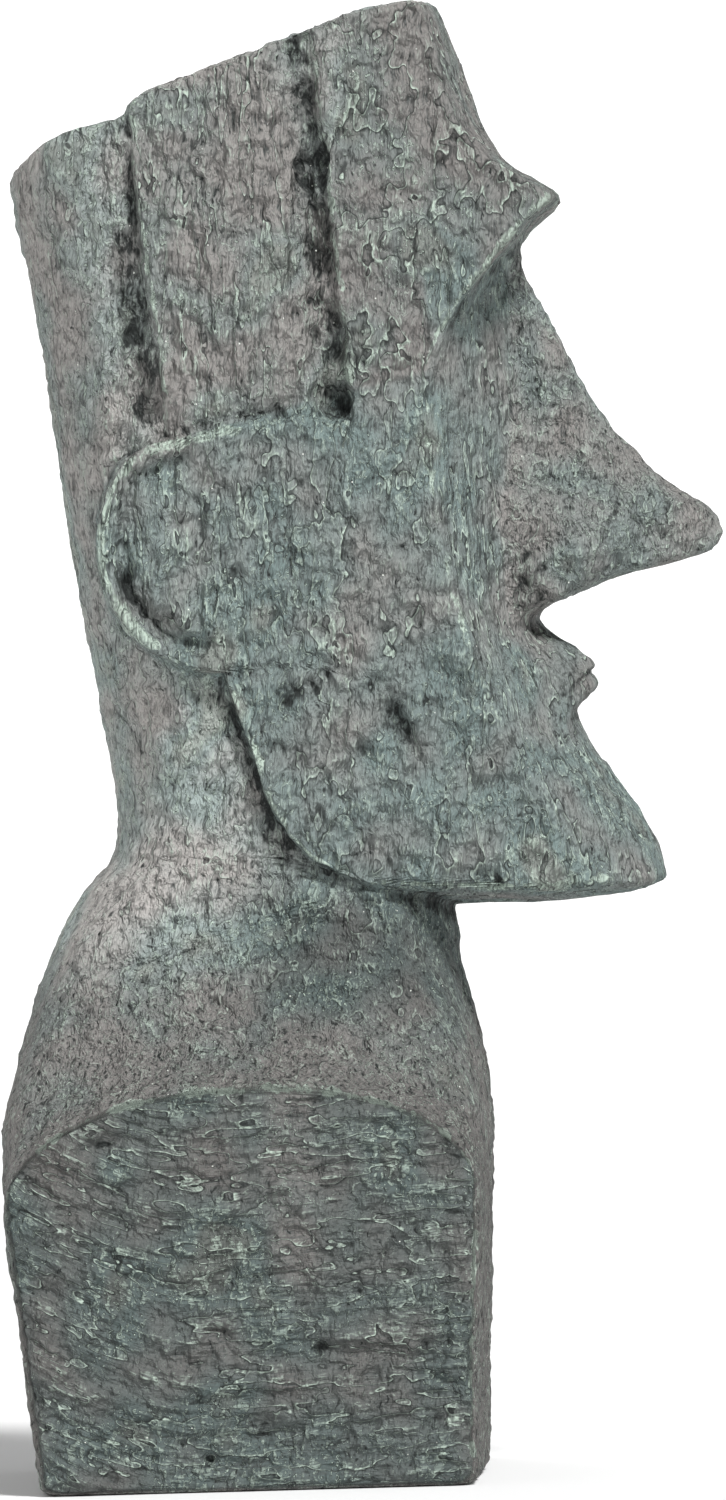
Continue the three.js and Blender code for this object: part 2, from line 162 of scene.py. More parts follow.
@dataclass(frozen=True)
class Lumps:
    """Seeded gradient noise: smooth lumps, as stone left by a hammer and by weather."""

    seed: int
    lattice: int = 256
    full_height: float = 1.6
    shift: float = 17.3
    fading: float = 0.52

    def layer(self, points: Array) -> Array:
        """One octave at points of any (..., 3) shape, about -1 to 1.

        The value is the blend, by the quintic 6u^5 - 15u^4 + 10u^3, of the eight corners' random
        gradients dotted with the way from each corner.

        Args:
            points: places in cells of the lattice.

        Returns:
            Heights, one at each point.
        """
        rng = np.random.default_rng(self.seed)
        order = rng.permutation(self.lattice)
        gradients = rng.normal(size=(self.lattice, 3))
        gradients /= np.linalg.norm(gradients, axis=1, keepdims=True)
        cell = np.floor(points).astype(int)
        part = points - cell
        blend = part**3 * (part * (part * 6 - 15) + 10)
        total = np.zeros(points.shape[:-1])
        last = self.lattice - 1
        for corner in np.ndindex(2, 2, 2):
            x, y, z = ((cell[..., axis] + corner[axis]) & last for axis in range(3))
            key = order[(order[(order[x] + y) & last] + z) & last]
            dot = ((part - corner) * gradients[key]).sum(-1)
            share = np.ones_like(total)
            for axis in range(3):
                share *= blend[..., axis] if corner[axis] else 1 - blend[..., axis]
            total += share * dot
        return total * self.full_height

    def __call__(self, points: Array, wave: float, octaves: int = 1, stretch: tuple = (1, 1, 1)) -> Array:
        """Sum of octaves, each of half the wavelength and about half the height of the one before.

        Args:
            points: places in millimetres, shape (..., 3).
            wave: wavelength of the first octave in millimetres.
            octaves: how many octaves are summed.
            stretch: how much longer the lumps are along each axis.

        Returns:
            Heights, about -1 to 1.
        """
        scaled = points / (wave * np.array(stretch, float))
        total = sum(self.layer(scaled * 2**i + self.shift * i) * self.fading**i for i in range(octaves))
        return total / sum(self.fading**i for i in range(octaves))


@dataclass(frozen=True)
class Flakes:
    """Seeded cell noise: plates with borders, as a crust that has cracked and lifted."""

    seed: int
    lattice: int = 256

    def __call__(self, points: Array, size: float, stretch: tuple = (1, 1, 1)) -> tuple[Array, Array]:
        """How much nearer the nearest cell centre is than the second, and the cell's number.

        Args:
            points: places in millimetres, shape (..., 3).
            size: distance between cell centres in millimetres.
            stretch: how much longer the cells are along each axis.

        Returns:
            The second distance less the nearest, as a share of size, so 0 on a border, and the
            nearest cell's own random number from 0 to 1.
        """
        rng = np.random.default_rng(self.seed)
        order = rng.permutation(self.lattice)
        centres = rng.random((self.lattice, 3))
        numbers = rng.random(self.lattice)
        scaled = points / (size * np.array(stretch, float))
        cell = np.floor(scaled).astype(int)
        first = np.full(points.shape[:-1], 9.0)
        second = first.copy()
        number = np.zeros_like(first)
        last = self.lattice - 1
        for step in np.ndindex(3, 3, 3):
            there = cell + np.array(step) - 1
            x, y, z = (there[..., axis] & last for axis in range(3))
            key = order[(order[(order[x] + y) & last] + z) & last]
            away = np.linalg.norm(there + centres[key] - scaled, axis=-1)
            nearer = away < first
            second = np.where(nearer, first, np.minimum(second, away))
            number = np.where(nearer, numbers[key], number)
            first = np.where(nearer, away, first)
        return second - first, number


# ---------------------------------------------------------------- the carved form, as in the solid
@dataclass(frozen=True)
class Levels:
    """Heights that the sheets follow: underside, shoulder arch, jaw and crown."""

    arch_top: float = 171.0
    arch_foot: float = 118.0
    arch_middle: float = -4.0
    arch_half: float = 99.0
    back_power: float = 2.0
    front_power: float = 3.0
    undercut: float = 0.1
    undercut_from: float = 60.0
    crown: Profile = profile(
        (-130, 533), (-107, 548), (-84, 563), (-65, 568.5), (-58, 570), (-52.5, 577),
        (-23, 589.5), (10, 602.5), (55, 617.5), (72, 619.5), (130, 620),
    )
    jaw: Profile = profile(
        (-60, 264), (8, 264), (22, 262), (38, 256), (59, 252.5), (100, 251.5), (141, 254.5),
        (157, 257), (166, 260), (185, 266),
    )

    def base(self, forward: Array) -> Array:
        """Height of the cut underside, a plane that rises forward by the lean."""
        return BASE_LEVEL + math.tan(LEAN) * forward

    def arch(self, forward: Array) -> Array:
        """Height of the shoulder arch: foot + rise * sqrt(1 - t^p), t the share of its half length.

        Args:
            forward: places along the figure.

        Returns:
            Heights of the arch there, its foot's height past its ends.
        """
        t = np.clip(np.abs(forward - self.arch_middle) / self.arch_half, 0.0, 1.0)
        power = np.where(forward > self.arch_middle, self.front_power, self.back_power)
        return self.arch_foot + (self.arch_top - self.arch_foot) * np.sqrt(1.0 - t**power)

    def sheet(self, number: Array, forward: Array) -> Array:
        """Height of a sheet: 0 underside, 1 shoulder arch, 2 jaw, 3 crown, straight between them.

        Args:
            number: sheet numbers from 0 to 3.
            forward: places along the figure.

        Returns:
            Heights of the sheets there.
        """
        base, arch, crown = self.base(forward), self.arch(forward), self.crown(forward)
        jaw = self.jaw(forward) - self.undercut * np.maximum(forward - self.undercut_from, 0.0)
        low = base + (arch - base) * number
        middle = arch + (jaw - arch) * (number - 1.0)
        high = jaw + (crown - jaw) * (number - 2.0)
        return np.where(number < 1.0, low, np.where(number < 2.0, middle, high))


LEVELS = Levels()


@dataclass(frozen=True)
class Trunk:
    """Shoulder block, shoulders, neck and the back of the skull."""

    edge_round: float = 8.0
    ridge_round: float = 2.5
    hollow_forward: float = -56.0
    hollow_width: float = 9.0
    hollow_depth: float = 5.0
    slope_share: float = 0.72
    back: Profile = profile(
        (0, -90), (50, -96.5), (130, -106.5), (150, -107.5), (171, -104), (204, -95.7), (237, -83),
        (254, -72), (264, -64), (280, -61.3), (308, -65), (379, -78), (437, -87), (495, -96),
        (540, -105.5), (640, -116),
    )
    front: Profile = profile(
        (0, 92.5), (60, 93), (125, 94), (154, 94.5), (171, 93), (191, 90), (208, 85.7),
        (225, 81.5), (238, 80), (252, 76), (270, 66), (640, 60),
    )
    block: Profile = profile((0, 121), (125, 126.5), (260, 128))
    shoulder: Profile = profile(
        (150, 176), (165, 139), (171, 127.5), (180, 113), (190, 102), (205, 89.5), (220, 80),
        (235, 73), (250, 69), (264, 67), (283, 67), (300, 69), (340, 73), (400, 76.5), (480, 77.5),
        (540, 75.5), (640, 72),
    )
    back_bow: Profile = profile((0, 3), (150, 4), (200, 12), (264, 26), (300, 34), (640, 36))
    front_bow: Profile = profile((0, 2), (150, 3), (200, 12), (240, 24), (640, 24))
    bow_power: Profile = profile((0, 2), (150, 2.2), (264, 2.6), (640, 2.8))

    def slope_half(self, forward: Array, up: Array) -> Array:
        """Half width of the shoulders, whose slope follows the arch at its foot."""
        lift = (LEVELS.arch_top - LEVELS.arch(forward)) * (1.0 - ramp(215, 262, up))
        return self.shoulder(up + lift)

    def half(self, forward: Array, up: Array) -> Array:
        """Half width of block or shoulders, whichever is less."""
        return np.minimum(self.block(up), self.slope_half(forward, up))

    def distance(self, side: Array, forward: Array, up: Array) -> Array:
        """Field of the trunk: its flanks meet a bowed front and a bowed back.

        Args:
            side: distances from the middle plane.
            forward: places along the figure.
            up: heights.

        Returns:
            Field values, negative inside.
        """
        slope = self.slope_half(forward, up)
        block = self.block(up)
        bow = np.clip(side / np.minimum(block, slope), 0.0, 1.3) ** self.bow_power(up)
        hollow = self.hollow_depth * bell(forward, self.hollow_forward, self.hollow_width)
        hollow = hollow * ramp(600, 480, up) * ramp(405, 440, up)
        flank = meet(side - block, (side - slope + hollow) * self.slope_share, self.ridge_round)
        front = forward - (self.front(up) - self.front_bow(up) * bow)
        back = self.back(up) + self.back_bow(up) * bow - forward
        return meet(meet(flank, front, self.edge_round), back, self.edge_round)

    def corner(self, number: Array, is_front: bool) -> Array:
        """Angle of the front or back corner on each sheet, by stepping to where sheet and edge agree.

        Args:
            number: sheet numbers.
            is_front: whether the front corner is meant.

        Returns:
            Angles from the front, in radians.
        """
        front, back = (self.front, self.front_bow, -1.0), (self.back, self.back_bow, 1.0)
        line, bow, sign = front if is_front else back
        forward = np.full(number.shape, float(line(0.0)))
        up = LEVELS.sheet(number, forward)
        for _ in range(8):
            forward = line(up) + sign * bow(up)
            up = LEVELS.sheet(number, forward)
        return np.arctan2(self.half(forward, up), forward)


@dataclass(frozen=True)
class Ear:
    """Oval ear plate behind, cut by a rising line above, open to the cheek in front."""

    forward: float = -18.0
    up: float = 394.0
    half_depth: float = 49.0
    half_height: float = 53.0
    scale: float = 50.0
    top_up: float = 438.5
    top_at: float = -30.0
    top_rise: float = 0.27
    corner_round: float = 6.0
    rim_height: float = 1.4
    dish_depth: float = 1.8
    trough_depth: float = 5.5
    shelf_depth: float = 4.0

    def depth(self, forward: Array, up: Array) -> Array:
        """Distance inside the ear's outline: oval and line joined with a rounded corner.

        Args:
            forward: places along the figure.
            up: heights.

        Returns:
            Distances in millimetres, negative outside.
        """
        behind = np.minimum(forward - self.forward, 0.0) / self.half_depth
        oval = (1.0 - np.hypot(behind, (up - self.up) / self.half_height)) * self.scale
        line = self.top_up + self.top_rise * (forward - self.top_at) - up
        return join(oval, line, self.corner_round)

    def relief(self, forward: Array, up: Array) -> Array:
        """Raised rim, dished inside, the trough behind the rim and the slit over it.

        Args:
            forward: places along the figure.
            up: heights.

        Returns:
            Relief outward in millimetres.
        """
        inside = self.depth(forward, up)
        closed = (1 - ramp(4, 22, forward)) * (1 - ramp(-22, -4, forward) * ramp(400, 380, up))
        rim = self.rim_height * bell(inside, 3, 3.6) * closed
        dish = ramp(5, 10, inside) * (1 - ramp(10, 40, inside)) * (1 - ramp(-40, 0, forward))
        deeper = (0.35 + 0.65 * ramp(400, 365, up)) * ramp(436, 420, up)
        trough = bell(inside, 10, 4.0) * deeper * (1 - ramp(-34, -10, forward))
        slit = 0.3 + 0.7 * bell(forward, -1, 12)
        shelf = bell(inside, -2.4, 2.4) * slit * ramp(420, 434, up) * (1 - ramp(6, 14, forward))
        return rim - self.dish_depth * dish - self.trough_depth * trough - self.shelf_depth * shelf


EAR = Ear()


@dataclass(frozen=True)
class Groove:
    """Upright groove in the temple, steep in front and shallow behind."""

    foot: float = 440.0
    forward: float = 33.5
    slant: float = -0.11
    steep: float = 6.0
    shallow: float = 11.0
    depth: float = 8.5
    crown_fade: float = 0.3

    def across(self, forward: Array, up: Array) -> Array:
        """Distance in front of the groove's middle line."""
        return forward - (self.forward + self.slant * (up - self.foot))

    def relief(self, forward: Array, up: Array) -> Array:
        """Depth as a lopsided bell across, fading in from the foot and shallower to the crown.

        Args:
            forward: places along the figure.
            up: heights.

        Returns:
            Relief outward in millimetres, so never positive.
        """
        across = self.across(forward, up)
        along = ramp(438, 462, up) * (1 - self.crown_fade * ramp(560, 610, up))
        wall = np.exp(-((across / self.steep) ** 4))
        return -self.depth * np.where(across > 0, wall, bell(across, 0, self.shallow)) * along


GROOVE = Groove()


@dataclass(frozen=True)
class Pit:
    """Chipped pit in the cheek: a lopsided bell across its line, a bell along it."""

    forward: float
    up: float
    slant: float
    rear: float
    front: float
    half: float
    depth: float

    def shape(self, forward: Array, up: Array) -> Array:
        """Share of the pit's depth: a bell of height times a bell across with a side of its own each way.

        Args:
            forward: places along the figure.
            up: heights.

        Returns:
            Shares from 0 to 1.
        """
        offset = forward - self.forward - self.slant * (up - self.up)
        reach = np.where(offset > 0, self.front, self.rear)
        return bell(offset, 0, reach) * bell(up, self.up, self.half)


CAST_PITS = (
    Pit(31, 453, 0, 10, 10, 8, 6),
    Pit(58, 322, -0.42, 10, 5, 17, 6.5),
    Pit(11.5, 333, 0, 7, 7, 9, 2.5),
)
LEFT_SHARE = 0.4


@dataclass(frozen=True)
class Mask:
    """Flat-sided mask from ear to chin, with the brow visor that hangs over the eyes."""

    flank: Profile = profile(
        (250, 76), (290, 80), (340, 83), (400, 84), (470, 82), (530, 80), (575, 77), (640, 73),
    )
    front: Profile = profile(
        (240, 171), (262, 167), (279, 158.8), (295, 148.3), (312, 136.5), (322, 131.5), (335, 127.5),
        (350, 120.5), (361, 115.5), (375, 113.5), (405, 114), (438, 112.5), (471, 109),
        (504, 104), (530, 97), (575, 84), (640, 46),
    )
    edge: Profile = profile(
        (240, 146), (275, 124.5), (304, 108), (337, 91.5), (361, 83.5), (390, 77), (435, 70.5),
        (467, 69.5), (560, 66), (640, 44),
    )
    power: Profile = profile((255, 2.3), (300, 1.9), (340, 1.5), (372, 1.2), (405, 1.15), (640, 1.25))
    rear: Profile = profile(
        (250, 58), (256, 36), (275, 11.5), (310, -3.5), (341, -14), (400, -30), (444, -37),
        (472, -40.5), (501, -46), (534, -50), (570, -53), (640, -58),
    )
    brow_front: Profile = profile(
        (528, 144), (537, 128), (545, 114.5), (553, 101.5), (561, 94), (570, 88.2),
        (587, 82), (611, 74.5), (640, 66),
    )
    brow_under: Profile = profile(
        (50, 446), (62, 456), (68, 465), (72, 475), (79, 488.6), (91.5, 505), (105, 521),
        (111.5, 529), (121.5, 537), (142, 553),
    )
    taper: float = 0.055
    taper_from: float = -40.0
    sag: float = 5.5
    visor_bow: float = 7.0
    visor_back: float = 30.0
    visor_round: float = 4.5
    edge_round: float = 3.0
    visor_join: float = 12.0
    ear_end: float = 10.0
    steepness: float = 0.85
    mouth_up: float = 342.0
    mouth_droop: float = 11.0
    mouth_half: float = 36.0
    mouth_bend: float = 32.0
    lip_upper: float = 15.0
    lip_lower: float = 13.0
    lip_crease: float = 2.2

    def mouth(self, side: Array, up: Array) -> Array:
        """Height over the mouth line, which droops to its corners."""
        return up - self.mouth_up + self.mouth_droop * (side / self.mouth_bend) ** 2

    def half(self, forward: Array, up: Array) -> Array:
        """Half width of the flat side: a profile of height, narrowing forward."""
        return self.flank(up) - self.taper * (forward - self.taper_from)

    def relief(self, forward: Array, up: Array, left: Array) -> Array:
        """Carving on the flat side: ear, temple groove and pits, the pits shallower on the left.

        Args:
            forward: places along the figure.
            up: heights.
            left: whether each place is on the left side.

        Returns:
            Relief outward in millimetres.
        """
        relief = EAR.relief(forward, up) + GROOVE.relief(forward, up)
        share = np.where(left, LEFT_SHARE, 1.0)
        for pit in CAST_PITS:
            relief = relief - share * pit.depth * pit.shape(forward, up)
        return relief

    def lips(self, side: Array, up: Array) -> Array:
        """How far the lips stand out: two rounded steps that meet in a crease and end at the corners.

        Args:
            side: distances from the middle plane.
            up: heights.

        Returns:
            Relief forward in millimetres.
        """
        across = np.clip(1 - (side / self.mouth_half) ** 2, 0, 1)
        above = self.mouth(side, up)
        upper = self.lip_upper * ramp(22, 2, above) * ramp(-2, 2, above)
        lower = self.lip_lower * ramp(-17, -4, above) * ramp(2, -2, above)
        crease = self.lip_crease * bell(above, 0.0, 1.6)
        return (upper + lower) * across**0.7 - crease * across

    def distance(self, side: Array, forward: Array, up: Array, relief: Array) -> Array:
        """Field of plate and visor, which meet the flank with its relief.

        Args:
            side: distances from the middle plane.
            forward: places along the figure.
            up: heights.
            relief: carving on the flat side, outward.

        Returns:
            Field values, negative inside.
        """
        half = self.half(forward, up)
        edge = self.edge(up)
        across = np.clip(side / self.half(edge, up), 0, 1.25) ** self.power(up)
        front = self.front(up) - (self.front(up) - edge) * across + self.lips(side, up)
        share = np.clip(side / half, 0, 1)
        jaw = LEVELS.jaw(forward) - self.sag * (1 - share * share) - up
        ear = np.maximum(-EAR.depth(forward, up), forward - self.ear_end)
        rear = np.minimum((self.rear(up) - forward) * self.steepness, ear)
        plate = meet((forward - front) * self.steepness, jaw, self.edge_round)
        plate = meet(plate, rear, self.edge_round)
        brow = (forward - self.brow_front(up) + self.visor_bow * (side / 72.0) ** 2.4) * 0.75
        under = (self.brow_under(forward) - up) * 0.62
        visor = meet(meet(brow, under, self.visor_round), self.visor_back - forward, self.edge_round)
        return meet(join(plate, visor, self.visor_join), side - half - relief, self.edge_round)

    def corner(self, number: Array, end: float) -> Array:
        """Angle of the mask's edge on each sheet, found along its flat side out to an end.

        Args:
            number: sheet numbers.
            end: place along the figure to search out to.

        Returns:
            Angles from the front, in radians.
        """
        inset = 1.5
        start = 45.0

        def along(share: Array) -> Place:
            """Places just inside the flat side, from the start to the end."""
            forward = start + (end - start) * share
            up = LEVELS.sheet(number, forward)
            return self.half(forward, up) - inset, forward, up

        zero = np.zeros_like(number)
        share = first_exit(lambda r: self.distance(*along(r), zero), zero, zero + 1.0, steps=60, halvings=12)
        side, forward, _ = along(share)
        return np.arctan2(side + inset, forward)


@dataclass(frozen=True)
class Nose:
    """Long nose with a swept tip and a nostril lobe on each side."""

    bridge_half: float = 8.0
    flare: float = 0.3
    top: float = 530.0
    root: float = 60.0
    front: Profile = profile(
        (380, 191.5), (398.5, 191.5), (405.5, 189.5), (413.5, 180.5), (421.5, 167.6), (438.5, 149.8),
        (454, 137.3), (471, 127.3), (495.5, 115.2), (508, 108.5), (520, 106), (560, 98),
    )
    under: Profile = profile(
        (100, 358), (122, 371), (143, 380), (171, 387.5), (184, 391.5), (195, 399.5), (210, 407.5),
    )
    lobe_side: float = 22.0
    lobe_forward: float = 126.0
    lobe_up: float = 390.0
    lobe_width: float = 12.5
    lobe_depth: float = 21.0
    lobe_height: float = 14.5
    lobe_tilt: float = 0.33
    lobe_join: float = 7.0
    ridge_round: float = 9.0
    under_round: float = 4.0
    root_round: float = 3.0

    def distance(self, side: Array, forward: Array, up: Array) -> Array:
        """Field of the ridge, cut by its underside, with an ellipsoid lobe joined on.

        Args:
            side: distances from the middle plane.
            forward: places along the figure.
            up: heights.

        Returns:
            Field values, negative inside.
        """
        front = self.front(up)
        half = self.bridge_half + self.flare * np.maximum(front - forward, 0)
        ridge = meet((side - half) * 0.95, (forward - front) * 0.72, self.ridge_round)
        under = (self.under(forward) + 2.0 * (side / 30.0) ** 2 - up) * 0.94
        body = meet(meet(ridge, under, self.under_round), up - self.top, self.under_round)
        body = meet(body, self.root - forward, self.root_round)
        ahead = forward - self.lobe_forward
        rise = up - self.lobe_up - self.lobe_tilt * ahead
        lobe = np.sqrt(
            ((side - self.lobe_side) / self.lobe_width) ** 2
            + (ahead / self.lobe_depth) ** 2
            + (rise / self.lobe_height) ** 2
        )
        return join(body, (lobe - 1.0) * self.lobe_width, self.lobe_join)


TRUNK = Trunk()
MASK = Mask()
NOSE = Nose()


def stone_field(x: Array, forward: Array, up: Array) -> Array:
    """Field of the whole statue before the flat sides are carved.

    Args:
        x: places across the figure, positive on its left.
        forward: places along the figure.
        up: heights.

    Returns:
        Field values, negative inside.
    """
    side = np.abs(x)
    plain = np.zeros_like(side)
    stone = join(TRUNK.distance(side, forward, up), MASK.distance(side, forward, up, plain), NECK_JOIN)
    stone = join(stone, NOSE.distance(side, forward, up), NOSE_JOIN)
    stone = meet(stone, (up - LEVELS.crown(forward)) * CROWN_STEEPNESS, CROWN_ROUND)
    return meet(stone, LEVELS.base(forward) - up, BASE_ROUND)


# ---------------------------------------------------------------- from field to grid
def first_exit(
    along: Callable[[Array], Array], near: Array, far: Array, steps: int, halvings: int,
) -> Array:
    """First place on each ray where the field turns positive, by steps and then by halving.

    Args:
        along: field value for an array of ray parameters.
        near: ray parameters that lie inside.
        far: ray parameters to search up to.
        steps: equal steps from near to far.
        halvings: times that the found step is halved.

    Returns:
        Ray parameters of the surface.
    """
    inner, outer = near.copy(), far.copy()
    found = np.zeros(near.shape, bool)
    for i in range(1, steps + 1):
        reach = near + (far - near) * i / steps
        out = (along(reach) > 0) & ~found
        outer = np.where(out, reach, outer)
        found |= out
        inner = np.where(found, inner, reach)
    for _ in range(halvings):
        middle = (inner + outer) / 2
        out = along(middle) > 0
        outer = np.where(out, middle, outer)
        inner = np.where(out, inner, middle)
    return (inner + outer) / 2


def spread(density: Array, count: int) -> Array:
    """Places from 0 to 1 that share out a row of densities evenly: the inverse of their running sum.

    Args:
        density: one row of densities.
        count: how many places.

    Returns:
        Places in rising order.
    """
    total = np.concatenate([[0.0], np.cumsum(density)])
    return np.interp(np.linspace(0, total[-1], count), total, np.linspace(0, 1, len(total)))


@dataclass(frozen=True)
class Grid:
    """Two-parameter grid over the statue: sheets up, angles round."""

    side_rings: int = 386
    crown_rings: int = 24
    right: tuple[int, int, int] = (50, 92, 28)
    left: tuple[int, int, int] = (18, 34, 18)
    rim: float = 2.984
    eye_forward: float = -8.0
    eye_up: float = 470.0
    key_every: int = 6
    probes: int = 60
    span_heights: tuple[float, float, float] = (150.0, 90.0, 345.0)
    crowded: tuple[tuple[float, float, float], ...] = (
        (0, 0.03, 2.2), (1, 0.04, 0.8), (2, 0.06, 0.8),
        (2.36, 0.04, 0.8), (2.25, 0.02, 0.8), (2.96, 0.02, 0.8),
    )
    ray_start: float = 20.0
    ray_length: float = 195.0
    jaw_ends: tuple[float, float] = (150.0, -90.0)

    def sheets(self) -> Array:
        """Sheet numbers of the side rings, closer together where the form has an edge or an overhang.

        The density is the height of each span times 1 plus a bell about each edge's sheet.

        Returns:
            Rising sheet numbers, one for each ring.
        """
        number = np.linspace(0, self.rim, 3000)
        spans = np.array(self.span_heights)[np.minimum(number.astype(int), 2)]
        crowd = np.ones_like(number)
        for sheet, width, more in self.crowded:
            crowd = crowd + more * bell(number, sheet, width)
        return self.rim * spread(spans * crowd, self.side_rings)

    def side_points(self, number: Array, angle: Array, steps: int, halvings: int) -> Array:
        """Where rays along the sheets leave the stone; the angle runs from the front over the right.

        Args:
            number: sheet number of each ray.
            angle: angle of each ray in radians.
            steps: equal steps along a ray.
            halvings: times that the found step is halved.

        Returns:
            Points, shape (..., 3).
        """
        sine, cosine = np.sin(angle), np.cos(angle)

        def place(reach: Array) -> Place:
            """Places at a reach along the rays."""
            forward = reach * cosine
            return -reach * sine, forward, LEVELS.sheet(number, forward)

        near = np.full(angle.shape, self.ray_start)
        far = near + self.ray_length
        reach = first_exit(lambda r: stone_field(*place(r)), near, far, steps, halvings)
        return np.stack(place(reach), -1)

    def corners(self, number: Array) -> Array:
        """Angles of front, front corner, back corner and back for each sheet.

        Args:
            number: sheet numbers.

        Returns:
            Angles in radians, shape (sheets, 4).
        """
        high = number >= 2
        ahead, behind = self.jaw_ends
        front = np.where(high, MASK.corner(np.maximum(number, 2), ahead), TRUNK.corner(number, True))
        back = TRUNK.corner(number, False)
        jaw_back = MASK.corner(np.array([2.0]), behind)[0]
        sliding = back + (jaw_back - back) * ramp(1.45, 2, number)
        back = np.where(high, MASK.corner(np.maximum(number, 2), behind), sliding)
        return np.stack([np.zeros_like(number), front, back, np.full_like(number, np.pi)], -1)

    def angles(self, number: Array, counts: tuple[int, int, int]) -> Array:
        """Half-ring angles for every sheet.

        On key sheets each span between corners is probed, and its columns share out length and, to a
        smaller part, bending.  The shares run smoothly from key sheet to key sheet and between them.

        Args:
            number: sheet numbers.
            counts: columns in each of the three spans.

        Returns:
            Angles in radians, shape (sheets, 1 + sum of counts).
        """
        keys = number[:: self.key_every]
        ends, key_ends = self.corners(number), self.corners(keys)
        share = np.linspace(0, 1, self.probes + 1)
        columns = [np.zeros((len(number), 1))]
        for span, count in enumerate(counts):
            start, end = key_ends[:, span, None], key_ends[:, span + 1, None]
            angle = start + (end - start) * share
            sheets = np.broadcast_to(keys[:, None], angle.shape)
            points = self.side_points(sheets, angle, steps=36, halvings=8)
            chord = np.diff(points, axis=1)
            length = np.linalg.norm(chord, axis=-1)
            unit = chord / np.maximum(length[..., None], 1e-9)
            turn = np.arccos(np.clip((unit[:, 1:] * unit[:, :-1]).sum(-1), -1, 1))
            bend = np.pad(turn, ((0, 0), (1, 0))) / 2 + np.pad(turn, ((0, 0), (0, 1))) / 2 + 0.002
            weight = 0.75 * length / length.sum(1, keepdims=True)
            weight = weight + 0.25 * bend / bend.sum(1, keepdims=True)
            weight = (weight + np.roll(weight, 1, 0) + np.roll(weight, -1, 0)) / 3
            weight[0], weight[-1] = weight[1], weight[-2]
            places = np.stack([spread(row, count + 1)[1:] for row in weight])
            placed = np.stack([np.interp(number, keys, places[:, j]) for j in range(count)], 1)
            columns.append(ends[:, span, None] + (ends[:, span + 1] - ends[:, span])[:, None] * placed)
        return np.concatenate(columns, 1)

    def crown_points(self, rim: Array, share: Array) -> Array:
        """Points of the crown: rays from the crown's eye to the rim drawn in by each share.

        Args:
            rim: points of the last side ring.
            share: how far in each crown ring lies, from 0 at the rim to 1 at the eye.

        Returns:
            Points, shape (rings, columns, 3).
        """
        share = share[:, None]
        x, forward, up = (rim[None, :, axis] for axis in range(3))
        target_x = x * (1 - share)
        target = self.eye_forward + (forward - self.eye_forward) * (1 - share)
        target_up = LEVELS.crown(target) - (LEVELS.crown(forward) - up) * (1 - share) ** 6

        def place(reach: Array) -> Place:
            """Places at a reach along the rays from the eye."""
            ahead = self.eye_forward + reach * (target - self.eye_forward)
            return reach * target_x, ahead, self.eye_up + reach * (target_up - self.eye_up)

        near = np.full(target_x.shape, 0.6)
        reach = first_exit(lambda r: stone_field(*place(r)), near, near + 0.7, steps=28, halvings=14)
        return np.stack(place(reach), -1)

    def points(self) -> Array:
        """All grid points, side rings and then crown rings.

        Returns:
            Points in the carving frame, shape (rings, columns, 3).
        """
        number = self.sheets()
        right = self.angles(number, self.right)
        left = 2 * np.pi - self.angles(number, self.left)[:, -2:0:-1]
        angle = np.concatenate([right, left], 1)
        sheets = np.broadcast_to(number[:, None], angle.shape)
        side = self.side_points(sheets, angle, steps=44, halvings=14)
        share = np.arange(1, self.crown_rings + 1) / (self.crown_rings + 1)
        return np.concatenate([side, self.crown_points(side[-1], share)])


def grid_normals(points: Array) -> Array:
    """Unit normals of a grid that closes on itself sideways: the cross product of its two tangents.

    Args:
        points: grid points, shape (rings, columns, 3).

    Returns:
        Unit normals that point outward, same shape.
    """
    around = np.roll(points, -1, 1) - np.roll(points, 1, 1)
    upward = np.gradient(points, axis=0)
    normal = np.cross(around, upward)
    normal /= np.maximum(np.linalg.norm(normal, axis=-1, keepdims=True), 1e-9)
    outward = points - points.mean(1, keepdims=True)
    return -normal if (normal * outward).sum() < 0 else normal


def carved(points: Array, normals: Array) -> Array:
    """Grid points with the ear, the grooves and the pits cut sideways into the mask's flat sides.

    The cut fades out from 1 to 3 mm inside the flat side and as the surface turns away from it.

    Args:
        points: grid points of the uncut form.
        normals: their unit normals.

    Returns:
        The moved grid points.
    """
    x, forward, up = np.moveaxis(points, -1, 0)
    on_mask = ramp(3.0, 1.0, MASK.half(forward, up) - np.abs(x))
    on_mask = on_mask * ramp(0.4, 0.8, np.abs(normals[..., 0]))
    cut = np.sign(x) * MASK.relief(forward, up, x > 0) * on_mask
    return points + np.stack([cut, np.zeros_like(cut), np.zeros_like(cut)], -1)


def stand(points: Array) -> Array:
    """From the carving frame to the standing figure in metres: level underside, facing -Y.

    The figure is turned by the lean about the middle of its underside and scaled to its height.

    Args:
        points: points in the carving frame.

    Returns:
        Points in the standing frame.
    """
    x, forward, up = np.moveaxis(points, -1, 0)
    raised = up - BASE_LEVEL
    ahead = forward * math.cos(LEAN) + raised * math.sin(LEAN)
    height = raised * math.cos(LEAN) - forward * math.sin(LEAN)
    return np.stack([x, -ahead, height], -1) * (HEIGHT / DRAWN_HEIGHT * MM)


# ---------------------------------------------------------------- weathering of the cast surface
class Zone(Enum):
    """Where on the figure a surface lies; each zone was worked in its own way."""

    BLOCK = "side of the shoulder block"
    REAR = "back panel of the skull"
    MIDDLE = "middle panel of the temple"
    BROW = "front panel of the temple, over the brow"
    EAR = "inside of the ear"
    CHEEK = "cheek and jaw"
    FACE = "face between the cheeks"
    NOSE = "nose"
    NECK = "neck"
    UNDERJAW = "throat, under the jaw"
    SHOULDER = "shoulders, chest and back"


